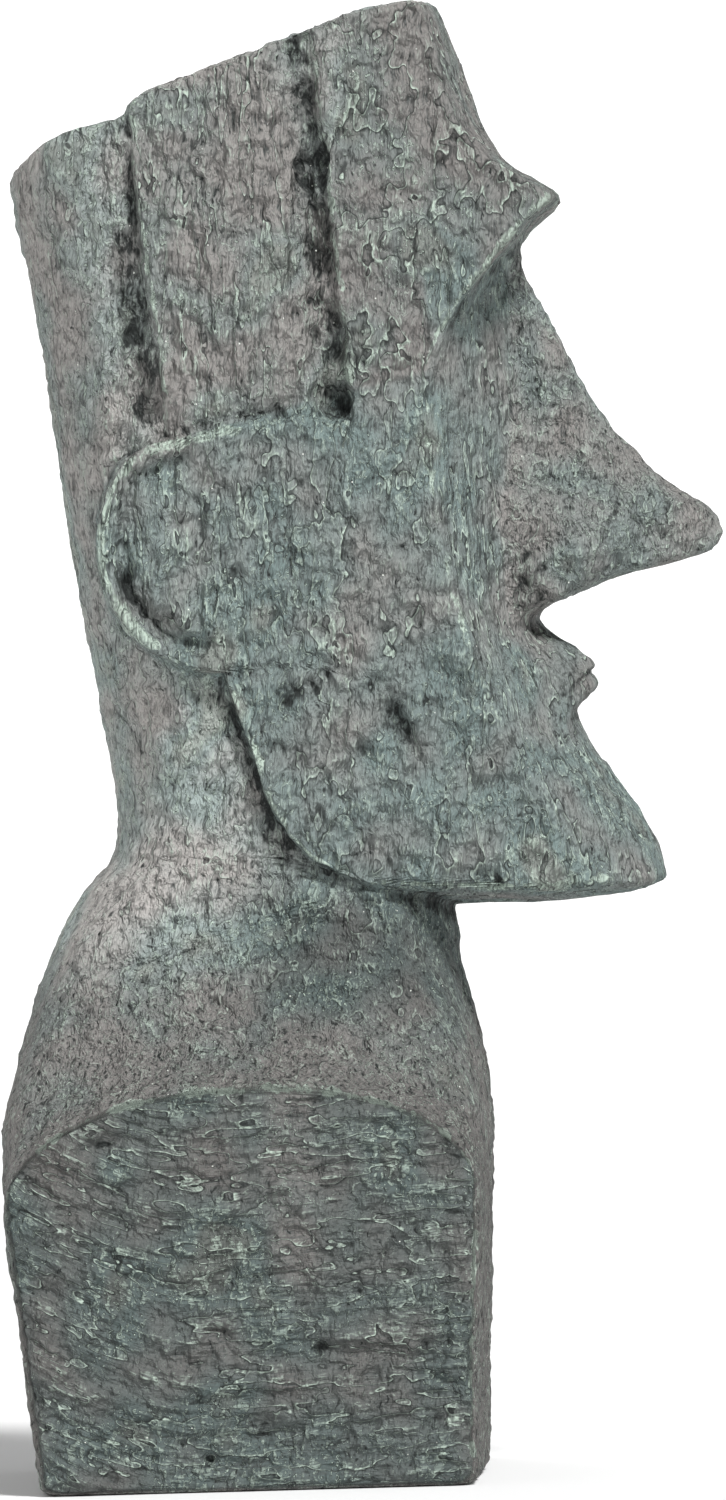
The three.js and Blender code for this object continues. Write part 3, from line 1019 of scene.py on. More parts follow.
@dataclass(frozen=True)
class Worked:
    """How a zone was worked and what colour it has, each from 0 to 1 unless said otherwise."""

    upright: float = 0.0
    level: float = 0.0
    flaked: float = 0.0
    hammered: float = 0.0
    light: float = 0.5
    green: float = 0.5


WORKED: dict[Zone, Worked] = {
    Zone.BLOCK: Worked(level=1.0, flaked=0.25, hammered=0.25, light=0.08, green=0.6),
    Zone.REAR: Worked(upright=0.8, flaked=0.2, hammered=0.6, light=1.0, green=0.2),
    Zone.MIDDLE: Worked(upright=1.0, flaked=0.1, hammered=0.2, light=0.58, green=0.15),
    Zone.BROW: Worked(upright=0.35, flaked=0.7, hammered=0.2, light=0.42, green=0.15),
    Zone.EAR: Worked(upright=0.95, flaked=0.1, hammered=0.2, light=0.6, green=0.55),
    Zone.CHEEK: Worked(upright=0.55, flaked=0.8, hammered=0.35, light=0.57, green=0.65),
    Zone.FACE: Worked(upright=0.8, flaked=0.15, hammered=0.2, light=0.54, green=0.6),
    Zone.NOSE: Worked(upright=0.3, flaked=0.2, hammered=0.8, light=0.58, green=0.3),
    Zone.NECK: Worked(upright=0.6, flaked=0.4, hammered=0.6, light=1.2, green=0.3),
    # The throat is painted dark teal as the shade under the jaw.
    Zone.UNDERJAW: Worked(upright=0.3, flaked=0.3, hammered=0.7, light=0.04, green=0.75),
    Zone.SHOULDER: Worked(flaked=0.5, hammered=1.0, light=0.46, green=0.15),
}


@dataclass(frozen=True)
class Chip:
    """Small hole or gouge: forward, up, radius across, radius along, tilt from upright, depth."""

    forward: float
    up: float
    across: float
    along: float
    tilt: float
    depth: float

    def shape(self, forward: Array, up: Array) -> Array:
        """Share of depth: 1 - ramp of the distance in the tilted ellipse.

        Args:
            forward: places along the figure.
            up: heights.

        Returns:
            Shares from 0 outside to 1 in the middle.
        """
        sine, cosine = math.sin(self.tilt), math.cos(self.tilt)
        ahead, rise = forward - self.forward, up - self.up
        across = (ahead * cosine + rise * sine) / self.across
        along = (rise * cosine - ahead * sine) / self.along
        return 1.0 - ramp(0.35, 1.15, np.hypot(across, along))


BLOCK_CHIPS = (
    Chip(25.4, 62.7, 5, 4, 0.6, 3.0), Chip(-9.2, 91.2, 2, 4, 0.3, 1.8),
    Chip(-18.2, 18.7, 3, 3, 0, 3.2), Chip(-41.8, 17.9, 2.6, 2, 0, 2.0),
    Chip(-29.6, 24.8, 3, 2, 1.2, 2.0), Chip(61.2, 95.2, 5, 3, 0, 2.6),
    Chip(69.4, 64.3, 4, 5, 0.4, 2.4), Chip(26.2, 136.8, 2.5, 5, -0.8, 2.2),
    Chip(9.1, 109.5, 1.8, 3, -0.4, 1.8), Chip(34.3, 91.2, 2.6, 1.8, 0, 1.6),
    Chip(53.1, 103.4, 3.4, 2.2, 0, 2.2), Chip(-16.2, 112.4, 2.2, 3, 0, 1.8),
    Chip(79.1, 98.1, 1.6, 10, 0.1, 1.8), Chip(79.1, 73.7, 1.4, 12, 0, 1.6),
    Chip(39.6, 81.8, 5, 2, 0, 1.6), Chip(73.4, 32.9, 5, 5, 0, 2.0),
    Chip(22.1, 37, 5, 1.6, 0, 1.4), Chip(-56.9, 30.1, 7, 1.8, -0.5, 1.4),
    Chip(-11.3, 69.6, 2, 5, 0.6, 1.4), Chip(-37.8, 83.8, 2.5, 4, 0.7, 1.2),
    Chip(50, 120, 6, 2, -0.3, 1.8),
)
HEAD_CHIPS = (
    Chip(22.6, 334.1, 3, 7, 0.3, 2.6), Chip(45.2, 307.8, 4, 9, 0.5, 2.8),
    Chip(27.1, 299.6, 2.2, 5, 0.4, 2.4), Chip(54.6, 292.7, 7, 3.4, -0.4, 2.2),
    Chip(75.2, 327.5, 2, 2, 0, 1.6), Chip(98.6, 296.3, 4.5, 2, -0.3, 1.4),
    Chip(113, 298, 3.4, 13, 0.42, 3.4), Chip(120, 284, 3, 7, 0.5, 2.2),
    Chip(-20.1, 549.2, 4, 3.4, 0, 1.6), Chip(7.4, 446.6, 6, 2.2, 0, 2.2),
    Chip(-6.9, 446.6, 4, 1.6, 0, 1.6), Chip(32.1, 451.5, 7, 6, 0, 2.6),
    Chip(25, 480, 3.4, 6, 0, 2.2), Chip(26, 554, 3, 6, 0, 2.4),
    Chip(19, 511, 2.6, 9, 0.1, 1.6), Chip(32, 334, 2.4, 9, 0.5, 1.8),
    Chip(-38, 520, 2.2, 2.2, 0, 1.2), Chip(-22, 500, 2, 2, 0, 1.0),
)


class Seed(IntEnum):
    """Seeds of the noises, so that none changes with another."""

    SWELL = 1
    DENTS = 2
    SMALL_DENTS = 3
    COMBED = 4
    FINE_COMBED = 5
    STROKES = 6
    SCARS = 7
    PLATES = 8
    LIPS = 9
    TORN = 12
    WARP = 40


@dataclass(frozen=True)
class Weather:
    """Relief that casting and weather left, and the zones, wear and painted shade that the finish reads."""

    points: Array
    warp: float = 7.0
    swell: float = 1.6
    left_squeeze: float = 0.82
    left_shift: float = 7.0
    left_lift: float = 9.0
    left_share: float = 0.7
    fading: float = 12.0
    band_at: float = 15.0
    band_light: float = 0.12
    band_green: float = 0.4
    # Painted shade, taken off light and green on the chest and just over the arch.
    chest_shade: float = 0.22
    arch_shade: float = 0.12
    soft_share: float = 0.6

    def zones(self, normals: Array) -> dict[Zone, Array]:
        """Share of each zone at each point, from the pieces of the form that lie at the surface.

        Args:
            normals: unit normals in the carving frame.

        Returns:
            Shares from 0 to 1 by zone, which sum to about 1.
        """
        x, forward, up = np.moveaxis(self.points, -1, 0)
        side = np.abs(x)
        flank = ramp(0.55, 0.8, np.abs(normals[..., 0]))
        relief = MASK.relief(forward, up, x > 0)
        nose = ramp(2.5, 0.5, np.abs(NOSE.distance(side, forward, up)))
        mask = ramp(2.5, 0.5, np.abs(MASK.distance(side, forward, up, relief))) * (1 - nose)
        trunk = (1 - nose) * (1 - mask)
        line = EAR.top_up + EAR.top_rise * (forward - EAR.top_at)
        above = ramp(-2, 2, up - line) * ramp(400, 430, up)
        ahead = ramp(-1, 2, GROOVE.across(forward, up))
        frontal = ramp(-2, 2, forward - MASK.edge(up)) * ramp(545, 500, up)
        lower = mask * (1 - above)
        ear = lower * ramp(2, 12, -forward + 4) * ramp(340, 356, up)
        block = trunk * flank * ramp(1, -2, up - LEVELS.arch(forward))
        high = ramp(425, 440, up)
        throat = ramp(278, 235, up) * ramp(180, 215, up) * ramp(-30, 20, forward)
        low = ramp(240, 200, up)
        rest = trunk - block
        return {
            Zone.NOSE: nose,
            Zone.MIDDLE: mask * above * (1 - ahead),
            Zone.BROW: mask * above * ahead * (1 - frontal),
            Zone.EAR: ear * (1 - frontal),
            Zone.CHEEK: (lower - ear) * (1 - frontal),
            Zone.FACE: mask * frontal,
            Zone.BLOCK: block,
            Zone.REAR: rest * high,
            Zone.UNDERJAW: rest * (1 - high) * throat,
            Zone.NECK: rest * (1 - high) * (1 - throat) * (1 - low),
            Zone.SHOULDER: rest * (1 - high) * (1 - throat) * low,
        }

    @staticmethod
    def blend(zones: dict[Zone, Array], quality: str) -> Array:
        """One quality of the zones, each weighted by its share."""
        return sum(share * getattr(WORKED[zone], quality) for zone, share in zones.items())

    def relief(self, zones: dict[Zone, Array], normals: Array) -> Array:
        """Height of the worked surface along its normal, about a mean of 0, less chips and tears.

        It is a broad swell plus each way of working times its share, stronger on the flat sides.

        Args:
            zones: share of each zone at each point.
            normals: unit normals in the carving frame.

        Returns:
            Heights in millimetres at the grid points.
        """
        points = self.points
        _, forward, up = np.moveaxis(points, -1, 0)
        warp = np.stack([Lumps(Seed.WARP + axis)(points, 22, 2) for axis in range(3)], -1)
        bent = points + self.warp * warp
        height = self.swell * Lumps(Seed.SWELL)(points, 38, 2)
        height = height + self.hammered(bent) * self.blend(zones, "hammered")
        height = height + self.combed(bent) * self.blend(zones, "upright")
        height = height + self.stroked(bent) * self.blend(zones, "level")
        height = height + self.plates(bent) * self.blend(zones, "flaked")
        height = (height - height.mean()) * (0.8 + 1.0 * ramp(0.5, 0.9, np.abs(normals[..., 0])))
        return height - self.chipped(zones) - self.fissures(forward, up, bent)

    def hammered(self, bent: Array) -> Array:
        """Dents of a hammer: rounded lumps of two sizes."""
        return 1.2 * Lumps(Seed.DENTS)(bent, 9, 2) + 1.0 * Lumps(Seed.SMALL_DENTS)(self.points, 4.5)

    def combed(self, bent: Array) -> Array:
        """Upright strokes: ridges where a drawn-out noise is near 0, and finer lumps between.

        Args:
            bent: the points moved by the warp.

        Returns:
            Heights in millimetres.
        """
        ridges = 1.2 - np.abs(Lumps(Seed.COMBED)(bent, 8.0, 2, (1, 1, 4.5))) * 7.0
        fine = Lumps(Seed.FINE_COMBED)(self.points, 4.2, 1, (1, 1, 5))
        return 0.6 * np.clip(ridges, -1.0, 1.0) + 0.9 * fine

    def stroked(self, bent: Array) -> Array:
        """Level strokes, less the scars between them."""
        scars = ramp(0.12, 0.4, Lumps(Seed.SCARS)(bent, 9, 2, (1, 5, 1)))
        return 1.2 * Lumps(Seed.STROKES)(bent, 5.5, 2, (1, 4.5, 1)) - 0.8 * scars

    def plates(self, bent: Array) -> Array:
        """Flaked plates, each at a height of its own, with a raised lip here and there.

        Args:
            bent: the points moved by the warp.

        Returns:
            Heights in millimetres.
        """
        border, number = Flakes(Seed.PLATES)(bent, 11, (1, 1, 1.5))
        lip = bell(border, 0.08, 0.1) * ramp(-0.2, 0.25, Lumps(Seed.LIPS)(self.points, 24, 1))
        return 1.6 * (number - 0.5) * ramp(0.0, 0.2, border) + 0.6 * lip

    def chipped(self, zones: dict[Zone, Array]) -> Array:
        """Depth of the small holes and gouges; those of the left side are shallower.

        The block's lie elsewhere on its left side: squeezed, moved back and lowered.

        Args:
            zones: share of each zone at each point.

        Returns:
            Depths in millimetres.
        """
        x, forward, up = np.moveaxis(self.points, -1, 0)
        left = x > 0
        mirrored = np.where(left, forward * self.left_squeeze - self.left_shift, forward)
        lifted = np.where(left, up + self.left_lift, up)
        share = np.where(left, self.left_share, 1.0)
        block = sum(chip.depth * chip.shape(mirrored, lifted) for chip in BLOCK_CHIPS)
        head = sum(chip.depth * chip.shape(forward, up) for chip in HEAD_CHIPS)
        on_head = sum(zones[zone] for zone in (Zone.CHEEK, Zone.EAR, Zone.MIDDLE, Zone.BROW))
        return share * (block * zones[Zone.BLOCK] + head * on_head)

    @staticmethod
    def panels(up: Array) -> Array:
        """Share of the height where the panels and grooves of the temple run, over the ear."""
        return ramp(436, 450, up)

    def fissures(self, forward: Array, up: Array, bent: Array) -> Array:
        """Extra depth and lumps in the two temple grooves, where the casting tore.

        Args:
            forward: places along the figure.
            up: heights.
            bent: the points moved by the warp.

        Returns:
            Depths in millimetres.
        """
        torn = Lumps(Seed.TORN)(bent, 9, 3, (1, 1, 2.0))
        inside = bell(GROOVE.across(forward, up), -2, 8) * self.panels(up)
        behind = bell(forward, MASK.rear(up) - 9, 7) * self.panels(up)
        low = behind * ramp(525, 500, up)
        lumps = 7.0 * np.clip(torn, -0.25, 0.5)
        return inside * (1.2 + lumps) + behind * 0.6 + low * (1.0 + lumps)

    def tone(self, zones: dict[Zone, Array]) -> list[Array]:
        """Light and green of the stone: its zone's, less the painted shade, changed in the brushed band.

        Args:
            zones: share of each zone at each point.

        Returns:
            Light and green.
        """
        band, shaded = self.band(zones), self.shaded(zones)
        light = self.blend(zones, "light") - shaded + self.band_light * band
        return [light, self.blend(zones, "green") - self.band_green * band - shaded]

    def band(self, zones: dict[Zone, Array]) -> Array:
        """Share of the upright brushed band down the upper middle of the block's side."""
        _, forward, up = np.moveaxis(self.points, -1, 0)
        return zones[Zone.BLOCK] * ramp(16.0, 4.0, np.abs(forward - self.band_at)) * ramp(60.0, 120.0, up)

    def shaded(self, zones: dict[Zone, Array]) -> Array:
        """Painted shade: how much darker the stone is painted on the chest and low on the shoulders, over
        the arch.

        Args:
            zones: share of each zone at each point.

        Returns:
            Shares to take off light and green.
        """
        _, forward, up = np.moveaxis(self.points, -1, 0)
        low = self.arch_shade * ramp(24.0, 8.0, up - LEVELS.arch(forward))
        return zones[Zone.SHOULDER] * (low + self.chest_shade * ramp(40.0, 100.0, forward))

    @staticmethod
    def hollowness(points: Array, normals: Array, rounds: int) -> Array:
        """How far each point stands out of its surroundings, in millimetres.

        Args:
            points: grid points.
            normals: unit normals.
            rounds: how many times the surroundings are averaged over the four neighbours.

        Returns:
            Heights over the averaged surface, positive on ridges.
        """
        smooth = points.copy()
        for _ in range(rounds):
            padded = np.concatenate([smooth[:1], smooth, smooth[-1:]])
            vertical = (padded[:-2] + padded[2:]) / 2
            level = (np.roll(smooth, 1, 1) + np.roll(smooth, -1, 1)) / 2
            smooth = (vertical + level) / 2
        return ((points - smooth) * normals).sum(-1)

    def nearest(self, lines: list[tuple[Array, Array]]) -> Array:
        """Distance to the nearest line in millimetres; where a line's share falls, it moves away."""
        return np.minimum.reduce([distance + self.fading * (1.0 - share) for distance, share in lines])

    def crest(self, zones: dict[Zone, Array]) -> Array:
        """Distance from edges that were brushed pale, each faded out past its ends.

        They are the arch, the block's front edge, the jaw, the cheek's back edge, the brow's underside,
        the ear's rim, the face's corner and the edges of the temple's panels.

        Args:
            zones: share of each zone at each point.

        Returns:
            Distances in millimetres.
        """
        x, forward, up = np.moveaxis(self.points, -1, 0)
        flank = ramp(0.5, 0.9, np.abs(x) / np.maximum(MASK.half(forward, up), 1)) * (1 - zones[Zone.NOSE])
        head = flank * ramp(228, 236, up)
        inside = EAR.depth(forward, up)
        rear = MASK.rear(up)
        arched = ramp(-96, -88, forward) * ramp(96, 88, forward) * ramp(200, 190, up)
        return self.nearest([
            (np.abs(up - LEVELS.arch(forward) + 0.5), arched),
            (np.abs(forward - TRUNK.front(up) + 4.0) + 0.6, ramp(140, 120, up)),
            (np.abs(up - LEVELS.jaw(forward) - 1.5), ramp(20, 50, forward) * head),
            (np.abs(forward - rear - 1.5), ramp(250, 262, up) * ramp(350, 330, up) * head),
            (0.6 * np.abs(up - MASK.brow_under(forward) - 1.5), ramp(62, 70, forward) * head),
            (np.abs(inside - 2.6) - 1.0, ramp(4, -10, forward) * ramp(345, 352, up) * head),
            (np.abs(forward - MASK.edge(up)) + 0.5, ramp(280, 310, up) * ramp(472, 450, up) * head),
            (np.abs(forward - rear - 1.0) + 0.3, ramp(440, 450, up) * head),
            (np.abs(GROOVE.across(forward, up) - 6.5) + 0.2, ramp(450, 460, up) * head),
        ])

    def crevice(self) -> Array:
        """Distance from the dirt and painted shade in the deep carving, each line faded out past its ends.

        It lies in the pits, the two temple grooves, the ear's trough and slit, behind ear and cheek,
        under the brow, in the nostrils and along the mouth.

        Returns:
            Distances in millimetres.
        """
        x, forward, up = np.moveaxis(self.points, -1, 0)
        side = np.abs(x)
        flank = ramp(0.75, 0.95, side / np.maximum(MASK.half(forward, up), 1))
        high = self.panels(up)
        rear = MASK.rear(up)
        inside = EAR.depth(forward, up)
        behind = ramp(-20, -34, forward)
        brow = ramp(66, 74, forward) * ramp(0.98, 0.9, side / 80.0)
        nostril = np.sqrt(((forward - 111) / 6) ** 2 + ((up - 380) / 12) ** 2 + ((side - 30) / 14) ** 2)
        pits = [(4.5 - 8.0 * pit.shape(forward, up), flank) for pit in CAST_PITS]
        wide = 1.2 + 1.8 * ramp(380, 350, up)
        return self.nearest(pits + [
            (np.abs(GROOVE.across(forward, up) + 1.5) - 2.4, high * flank),
            (np.abs(forward - rear + 8.0) - 6.5, ramp(440, 446, up) * ramp(545, 505, up)),
            (np.abs(forward - rear + 2.0) - 0.2, high),
            (np.abs(inside - 9.5) - wide, ramp(430, 405, up) * behind),
            (np.abs(inside + 1.8), ramp(345, 355, up) * ramp(-10, -20, forward)),
            (np.abs(inside + 2.2) - 0.6, bell(forward, -1, 14) * ramp(424, 434, up) * flank),
            (np.abs(forward - rear + 2.0), ramp(250, 262, up) * ramp(350, 340, up)),
            (0.6 * np.abs(up - MASK.brow_under(forward) + 3.0) - 1.0, brow),
            ((nostril - 1.0) * 5.0, np.ones_like(up)),
            (np.abs(MASK.mouth(side, up)) - 0.8, ramp(40, 30, side) * ramp(90, 110, forward)),
        ])

    def dirt_and_shade(self, zones: dict[Zone, Array], broad: Array) -> Array:
        """Distance from dirt and painted shade: that of the deep carving, or less where a broad hollow lies.

        Args:
            zones: share of each zone at each point.
            broad: how far each point stands out of its wide surroundings, in millimetres.

        Returns:
            Distances in millimetres.
        """
        soft = self.soft_share * (zones[Zone.FACE] + zones[Zone.NOSE])
        # Broad hollows are painted darker as shade, less so on face and nose.
        sunken = ramp(-0.9, -3.0, broad) * (1 - soft)
        return np.minimum(self.crevice(), 3.0 - 5.0 * sunken)


# ---------------------------------------------------------------- the stone finish
def linear(red: int, green: int, blue: int) -> Colour:
    """Screen colour as linear light: the sRGB curve's inverse.

    Args:
        red: from 0 to 255.
        green: from 0 to 255.
        blue: from 0 to 255.

    Returns:
        Linear red, green, blue and 1.
    """
    shares = np.array([red, green, blue]) / 255.0
    values = np.where(shares <= 0.04045, shares / 12.92, ((shares + 0.055) / 1.055) ** 2.4)
    return (*values.tolist(), 1.0)


class Graph:
    """Short words for the nodes of one material."""

    def __init__(self, material: bpy.types.Material) -> None:
        """Start an empty graph.

        Args:
            material: the material whose nodes are made.
        """
        material.use_nodes = True
        self.tree = material.node_tree
        self.tree.nodes.clear()

    def node(self, kind: str, inputs: dict, **settings: str | bool) -> bpy.types.Node:
        """One node.

        Args:
            kind: the node's type.
            inputs: sockets or values, by the input's name or number.
            settings: values of the node's own properties.

        Returns:
            The node.
        """
        node = self.tree.nodes.new(kind)
        for name, value in settings.items():
            setattr(node, name, value)
        for name, value in inputs.items():
            if isinstance(value, bpy.types.NodeSocket):
                self.tree.links.new(value, node.inputs[name])
            else:
                node.inputs[name].default_value = value
        return node

    def calc(self, operation: str, a: Value, b: Value = 0.0, c: Value = 0.0, clamp: bool = False) -> Socket:
        """Arithmetic on one to three values."""
        inputs = {0: a, 1: b, 2: c}
        return self.node("ShaderNodeMath", inputs, operation=operation, use_clamp=clamp).outputs[0]

    def times(self, a: Value, b: Value) -> Socket:
        """Product of two values."""
        return self.calc("MULTIPLY", a, b)

    def add(self, a: Value, b: Value) -> Socket:
        """Sum of two values."""
        return self.calc("ADD", a, b)

    def line(self, a: Value, factor: Value, more: Value) -> Socket:
        """Value times a factor, and more added."""
        return self.calc("MULTIPLY_ADD", a, factor, more)

    def greater(self, a: Value, b: Value) -> Socket:
        """Greater of two values."""
        return self.calc("MAXIMUM", a, b)

    def ease(self, value: Socket, start: float, end: float, low: float = 0.0, high: float = 1.0) -> Socket:
        """Smooth step of a value.

        Args:
            value: what is eased.
            start: value at which the step starts, which may be the greater one.
            end: value at which it ends.
            low: what is put out at the start.
            high: what is put out at the end.

        Returns:
            The eased value.
        """
        inputs = {"Value": value, "From Min": start, "From Max": end, "To Min": low, "To Max": high}
        node = self.node("ShaderNodeMapRange", inputs, interpolation_type="SMOOTHSTEP")
        return node.outputs["Result"]

    def stretched(self, vector: Socket, scale: tuple[float, float, float]) -> Socket:
        """Coordinates times a scale of their own along each axis."""
        return self.node("ShaderNodeMapping", {"Vector": vector, "Scale": scale}).outputs["Vector"]

    def noise(self, vector: Socket, scale: float, detail: float, rough: float = 0.55) -> Socket:
        """Cloud noise, about 0 to 1."""
        inputs = {"Vector": vector, "Scale": scale, "Detail": detail, "Roughness": rough}
        return self.node("ShaderNodeTexNoise", inputs).outputs[0]

    def moved(self, place: Socket, warp: Socket, reach: tuple[float, float, float]) -> Socket:
        """Coordinates plus a warp times its reach along each axis."""
        inputs = {0: warp, 1: reach, 2: place}
        return self.node("ShaderNodeVectorMath", inputs, operation="MULTIPLY_ADD").outputs[0]

    def equal(self, value: Socket) -> Socket:
        """Vector or grey colour whose three parts are all the value."""
        return self.node("ShaderNodeCombineXYZ", {0: value, 1: value, 2: value}).outputs[0]

    def split(self, vector: Socket) -> list[Socket]:
        """Three parts of a vector."""
        return list(self.node("ShaderNodeSeparateXYZ", {0: vector}).outputs)

    def attribute(self, name: str) -> list[Socket]:
        """Three values of a vector attribute of the mesh."""
        return self.split(self.node("ShaderNodeAttribute", {}, attribute_name=name).outputs["Vector"])

    def blend_vector(self, share: Socket, a: Socket, b: Socket) -> Socket:
        """Vector between a and b by a share."""
        return self.node("ShaderNodeMix", {0: share, 4: a, 5: b}, data_type="VECTOR").outputs[1]

    def tint(self, share: Value, a: Socket | Colour, b: Socket | Colour, how: str = "MIX") -> Socket:
        """Colour b over colour a by a share."""
        inputs = {0: share, 6: a, 7: b}
        return self.node("ShaderNodeMix", inputs, data_type="RGBA", blend_type=how).outputs[2]

    def mix(self, share: Socket, a: Socket, b: Socket) -> Socket:
        """Value between a and b by a share."""
        return self.node("ShaderNodeMix", {0: share, 2: a, 3: b}, data_type="FLOAT").outputs[0]


@dataclass(frozen=True)
class FineRelief:
    """Sockets of the fine relief: its height, and what the colour reads."""

    height: Socket
    swell: Socket
    lumps: Socket
    grain: Socket
    pecks: Socket
    patch: Socket
    lip: Socket
    # The foot is painted shadow below each ledge's lip.
    foot: Socket
    slit: Socket
    dent: Socket
    island: Socket


@dataclass(frozen=True)
class WeatheredStone:
    """Cast stone, painted dark and brushed pale on its ridges, with painted shade in its hollows and painted
    glints.
    """

    # Deep: dirt and painted shade in the carving, dark slits and dents, and painted shadow at the feet of
    # ledges.
    deep: Colour = linear(34, 38, 37)
    # Dark: dark wash and painted shade in the hollows of the fine relief.
    dark: Colour = linear(76, 80, 79)
    green: Colour = linear(116, 132, 130)
    mauve: Colour = linear(141, 138, 135)
    tan: Colour = linear(146, 138, 128)
    mint: Colour = linear(190, 207, 193)
    # Glint: pale specks painted in place of tiny glints of light.
    glint: Colour = linear(228, 232, 224)
    roughness: float = 0.85
    specular: float = 0.35
    bump_depth: float = 3.0 * MM
    # How far the strokes are drawn out, and how the level ones slant down towards the back.
    tall_squeeze: float = 0.13
    long_squeeze: float = 0.22
    slant_start: float = 20.0
    slant_reach: float = 60.0
    slant: float = 0.75
    # Scales of the noises, in cells per millimetre.
    warp_scale: float = 0.13
    patch_scale: float = 0.03
    grain_scale: float = 1.1
    crumb_scale: float = 0.22
    crust_scale: float = 0.022
    fibre_scale: float = 0.04
    lump_scale: float = 0.11
    peck_scale: float = 0.42
    glint_scale: float = 0.16
    fibre_reach: tuple[float, float, float] = (2.5, 3.0, -1.5)
    crust_reach: tuple[float, float, float] = (3.5, 4.5, -4.5)
    plate_ledges: float = 8.0
    crumb_ledges: float = 5.0
    # Heights of the parts of the fine relief, as shares of the bump's depth.
    plate_height: float = 1.2
    crumb_height: float = 0.3
    lump_height: float = 3.6
    peck_height: float = 0.2
    hammered_height: float = 1.4
    grain_height: float = 0.3
    # How strongly paint, dirt and painted shade cover.
    brush_limit: float = 0.85
    darkening_limit: float = 0.9
    top_share: float = 0.35
    tan_share: float = 0.4

    def build(self) -> bpy.types.Material:
        """Make the material.

        Returns:
            A material that reads object coordinates and the attributes strokes, wear_and_shade and tone.
        """
        material = bpy.data.materials.new(SLOT)
        graph = Graph(material)
        metres = graph.node("ShaderNodeTexCoord", {}).outputs["Object"]
        place = graph.node("ShaderNodeVectorMath", {0: metres, 3: 1.0 / MM}, operation="SCALE").outputs[0]
        fine = self.relief(graph, place, graph.attribute("strokes"))
        colour = self.colour(graph, place, fine)
        bump = graph.node("ShaderNodeBump", {
            "Strength": 1.0,
            "Distance": self.bump_depth,
            "Height": fine.height,
        })
        shader = graph.node("ShaderNodeBsdfPrincipled", {
            "Base Color": colour,
            "Roughness": self.roughness,
            "Specular IOR Level": self.specular,
            "Normal": bump.outputs["Normal"],
        })
        output = graph.node("ShaderNodeOutputMaterial", {})
        graph.tree.links.new(shader.outputs["BSDF"], output.inputs["Surface"])
        return material

    def flow(self, graph: Graph, place: Socket, level: Socket) -> Socket:
        """Coordinates drawn out along the strokes: upright ones, or level ones that slant at the back.

        The slant lowers the height by slant x d x d / (d + slant_reach), d the distance behind its start.

        Args:
            graph: the material's nodes.
            place: object coordinates in millimetres.
            level: share of level strokes.

        Returns:
            The coordinates.
        """
        x, y, z = graph.split(place)
        behind = graph.greater(graph.calc("SUBTRACT", y, self.slant_start), 0.0)
        share = graph.calc("DIVIDE", behind, graph.add(behind, self.slant_reach))
        sheared = graph.line(graph.times(behind, share), -self.slant, z)
        slanting = graph.node("ShaderNodeCombineXYZ", {0: x, 1: y, 2: sheared}).outputs[0]
        tall = graph.stretched(place, (1.0, 1.0, self.tall_squeeze))
        long = graph.stretched(slanting, (1.0, self.long_squeeze, 1.0))
        return graph.blend_vector(level, tall, long)

    def relief(self, graph: Graph, place: Socket, strokes: list[Socket]) -> FineRelief:
        """Fine relief: ledges with a sharp lip and a painted shadow at the foot, lumps, pecks, grain and
        slits.

        The height is the sum of ledges, lumps, pecks and grain, each times a height of its own.

        Args:
            graph: the material's nodes.
            place: object coordinates in millimetres.
            strokes: upright, level and hammered shares.

        Returns:
            The height and the parts that the colour reads.
        """
        upright, level, hammered = strokes
        warp = graph.equal(graph.calc("SUBTRACT", graph.noise(place, self.warp_scale, 1.0), 0.5))
        drawn = graph.moved(self.flow(graph, place, level), warp, self.fibre_reach)
        bent = graph.moved(place, warp, self.crust_reach)
        patch = graph.noise(place, self.patch_scale, 1.0)
        grain = graph.noise(drawn, self.grain_scale, 1.0, 0.75)
        crumbs = graph.noise(graph.stretched(bent, (1.0, 1.0, 0.6)), self.crumb_scale, 2.0, 0.8)
        crust = graph.noise(bent, self.crust_scale, 3.0, 0.7)
        fibre = graph.noise(drawn, self.fibre_scale, 3.0, 0.7)
        lumps = graph.noise(bent, self.lump_scale, 1.0, 0.5)
        pecks = graph.noise(graph.stretched(bent, (1.0, 1.0, 0.45)), self.peck_scale, 2.0, 0.7)
        plates = graph.mix(graph.greater(upright, level), crust, fibre)
        plate, plate_lip, plate_shadow = self.ledge(graph, plates, self.plate_ledges)
        crumb, crumb_lip, crumb_shadow = self.ledge(graph, crumbs, self.crumb_ledges)
        strength = graph.ease(patch, 0.40, 0.58, 0.1, 0.8)
        strength = graph.calc("MULTIPLY_ADD", hammered, 0.45, strength, clamp=True)
        whole = graph.line(hammered, -0.6, 1.0)
        broken = graph.ease(crumbs, 0.41, 0.53)
        lip = graph.times(graph.times(plate_lip, broken), whole)
        height = graph.times(graph.times(plate, whole), self.plate_height)
        height = graph.line(crumb, self.crumb_height, height)
        height = graph.line(lumps, self.lump_height, height)
        height = graph.line(pecks, graph.line(hammered, self.hammered_height, self.peck_height), height)
        swell = graph.line(pecks, 0.75, graph.line(lumps, 0.5, 0.3))
        swell = graph.line(grain, 0.35, graph.line(plate, 0.25, swell))
        return FineRelief(
            height=graph.line(grain, self.grain_height, height),
            swell=swell,
            lumps=lumps,
            grain=grain,
            pecks=pecks,
            patch=patch,
            lip=graph.greater(lip, graph.times(crumb_lip, strength)),
            # Painted shadow at the feet of the ledges.
            foot=graph.greater(graph.times(plate_shadow, whole), graph.times(crumb_shadow, strength)),
            slit=graph.times(graph.ease(pecks, 0.35, 0.30), graph.ease(lumps, 0.6, 0.45)),
            dent=graph.times(graph.ease(pecks, 0.42, 0.32), hammered),
            island=graph.times(graph.ease(crumbs, 0.58, 0.61), graph.ease(patch, 0.46, 0.58)),
        )

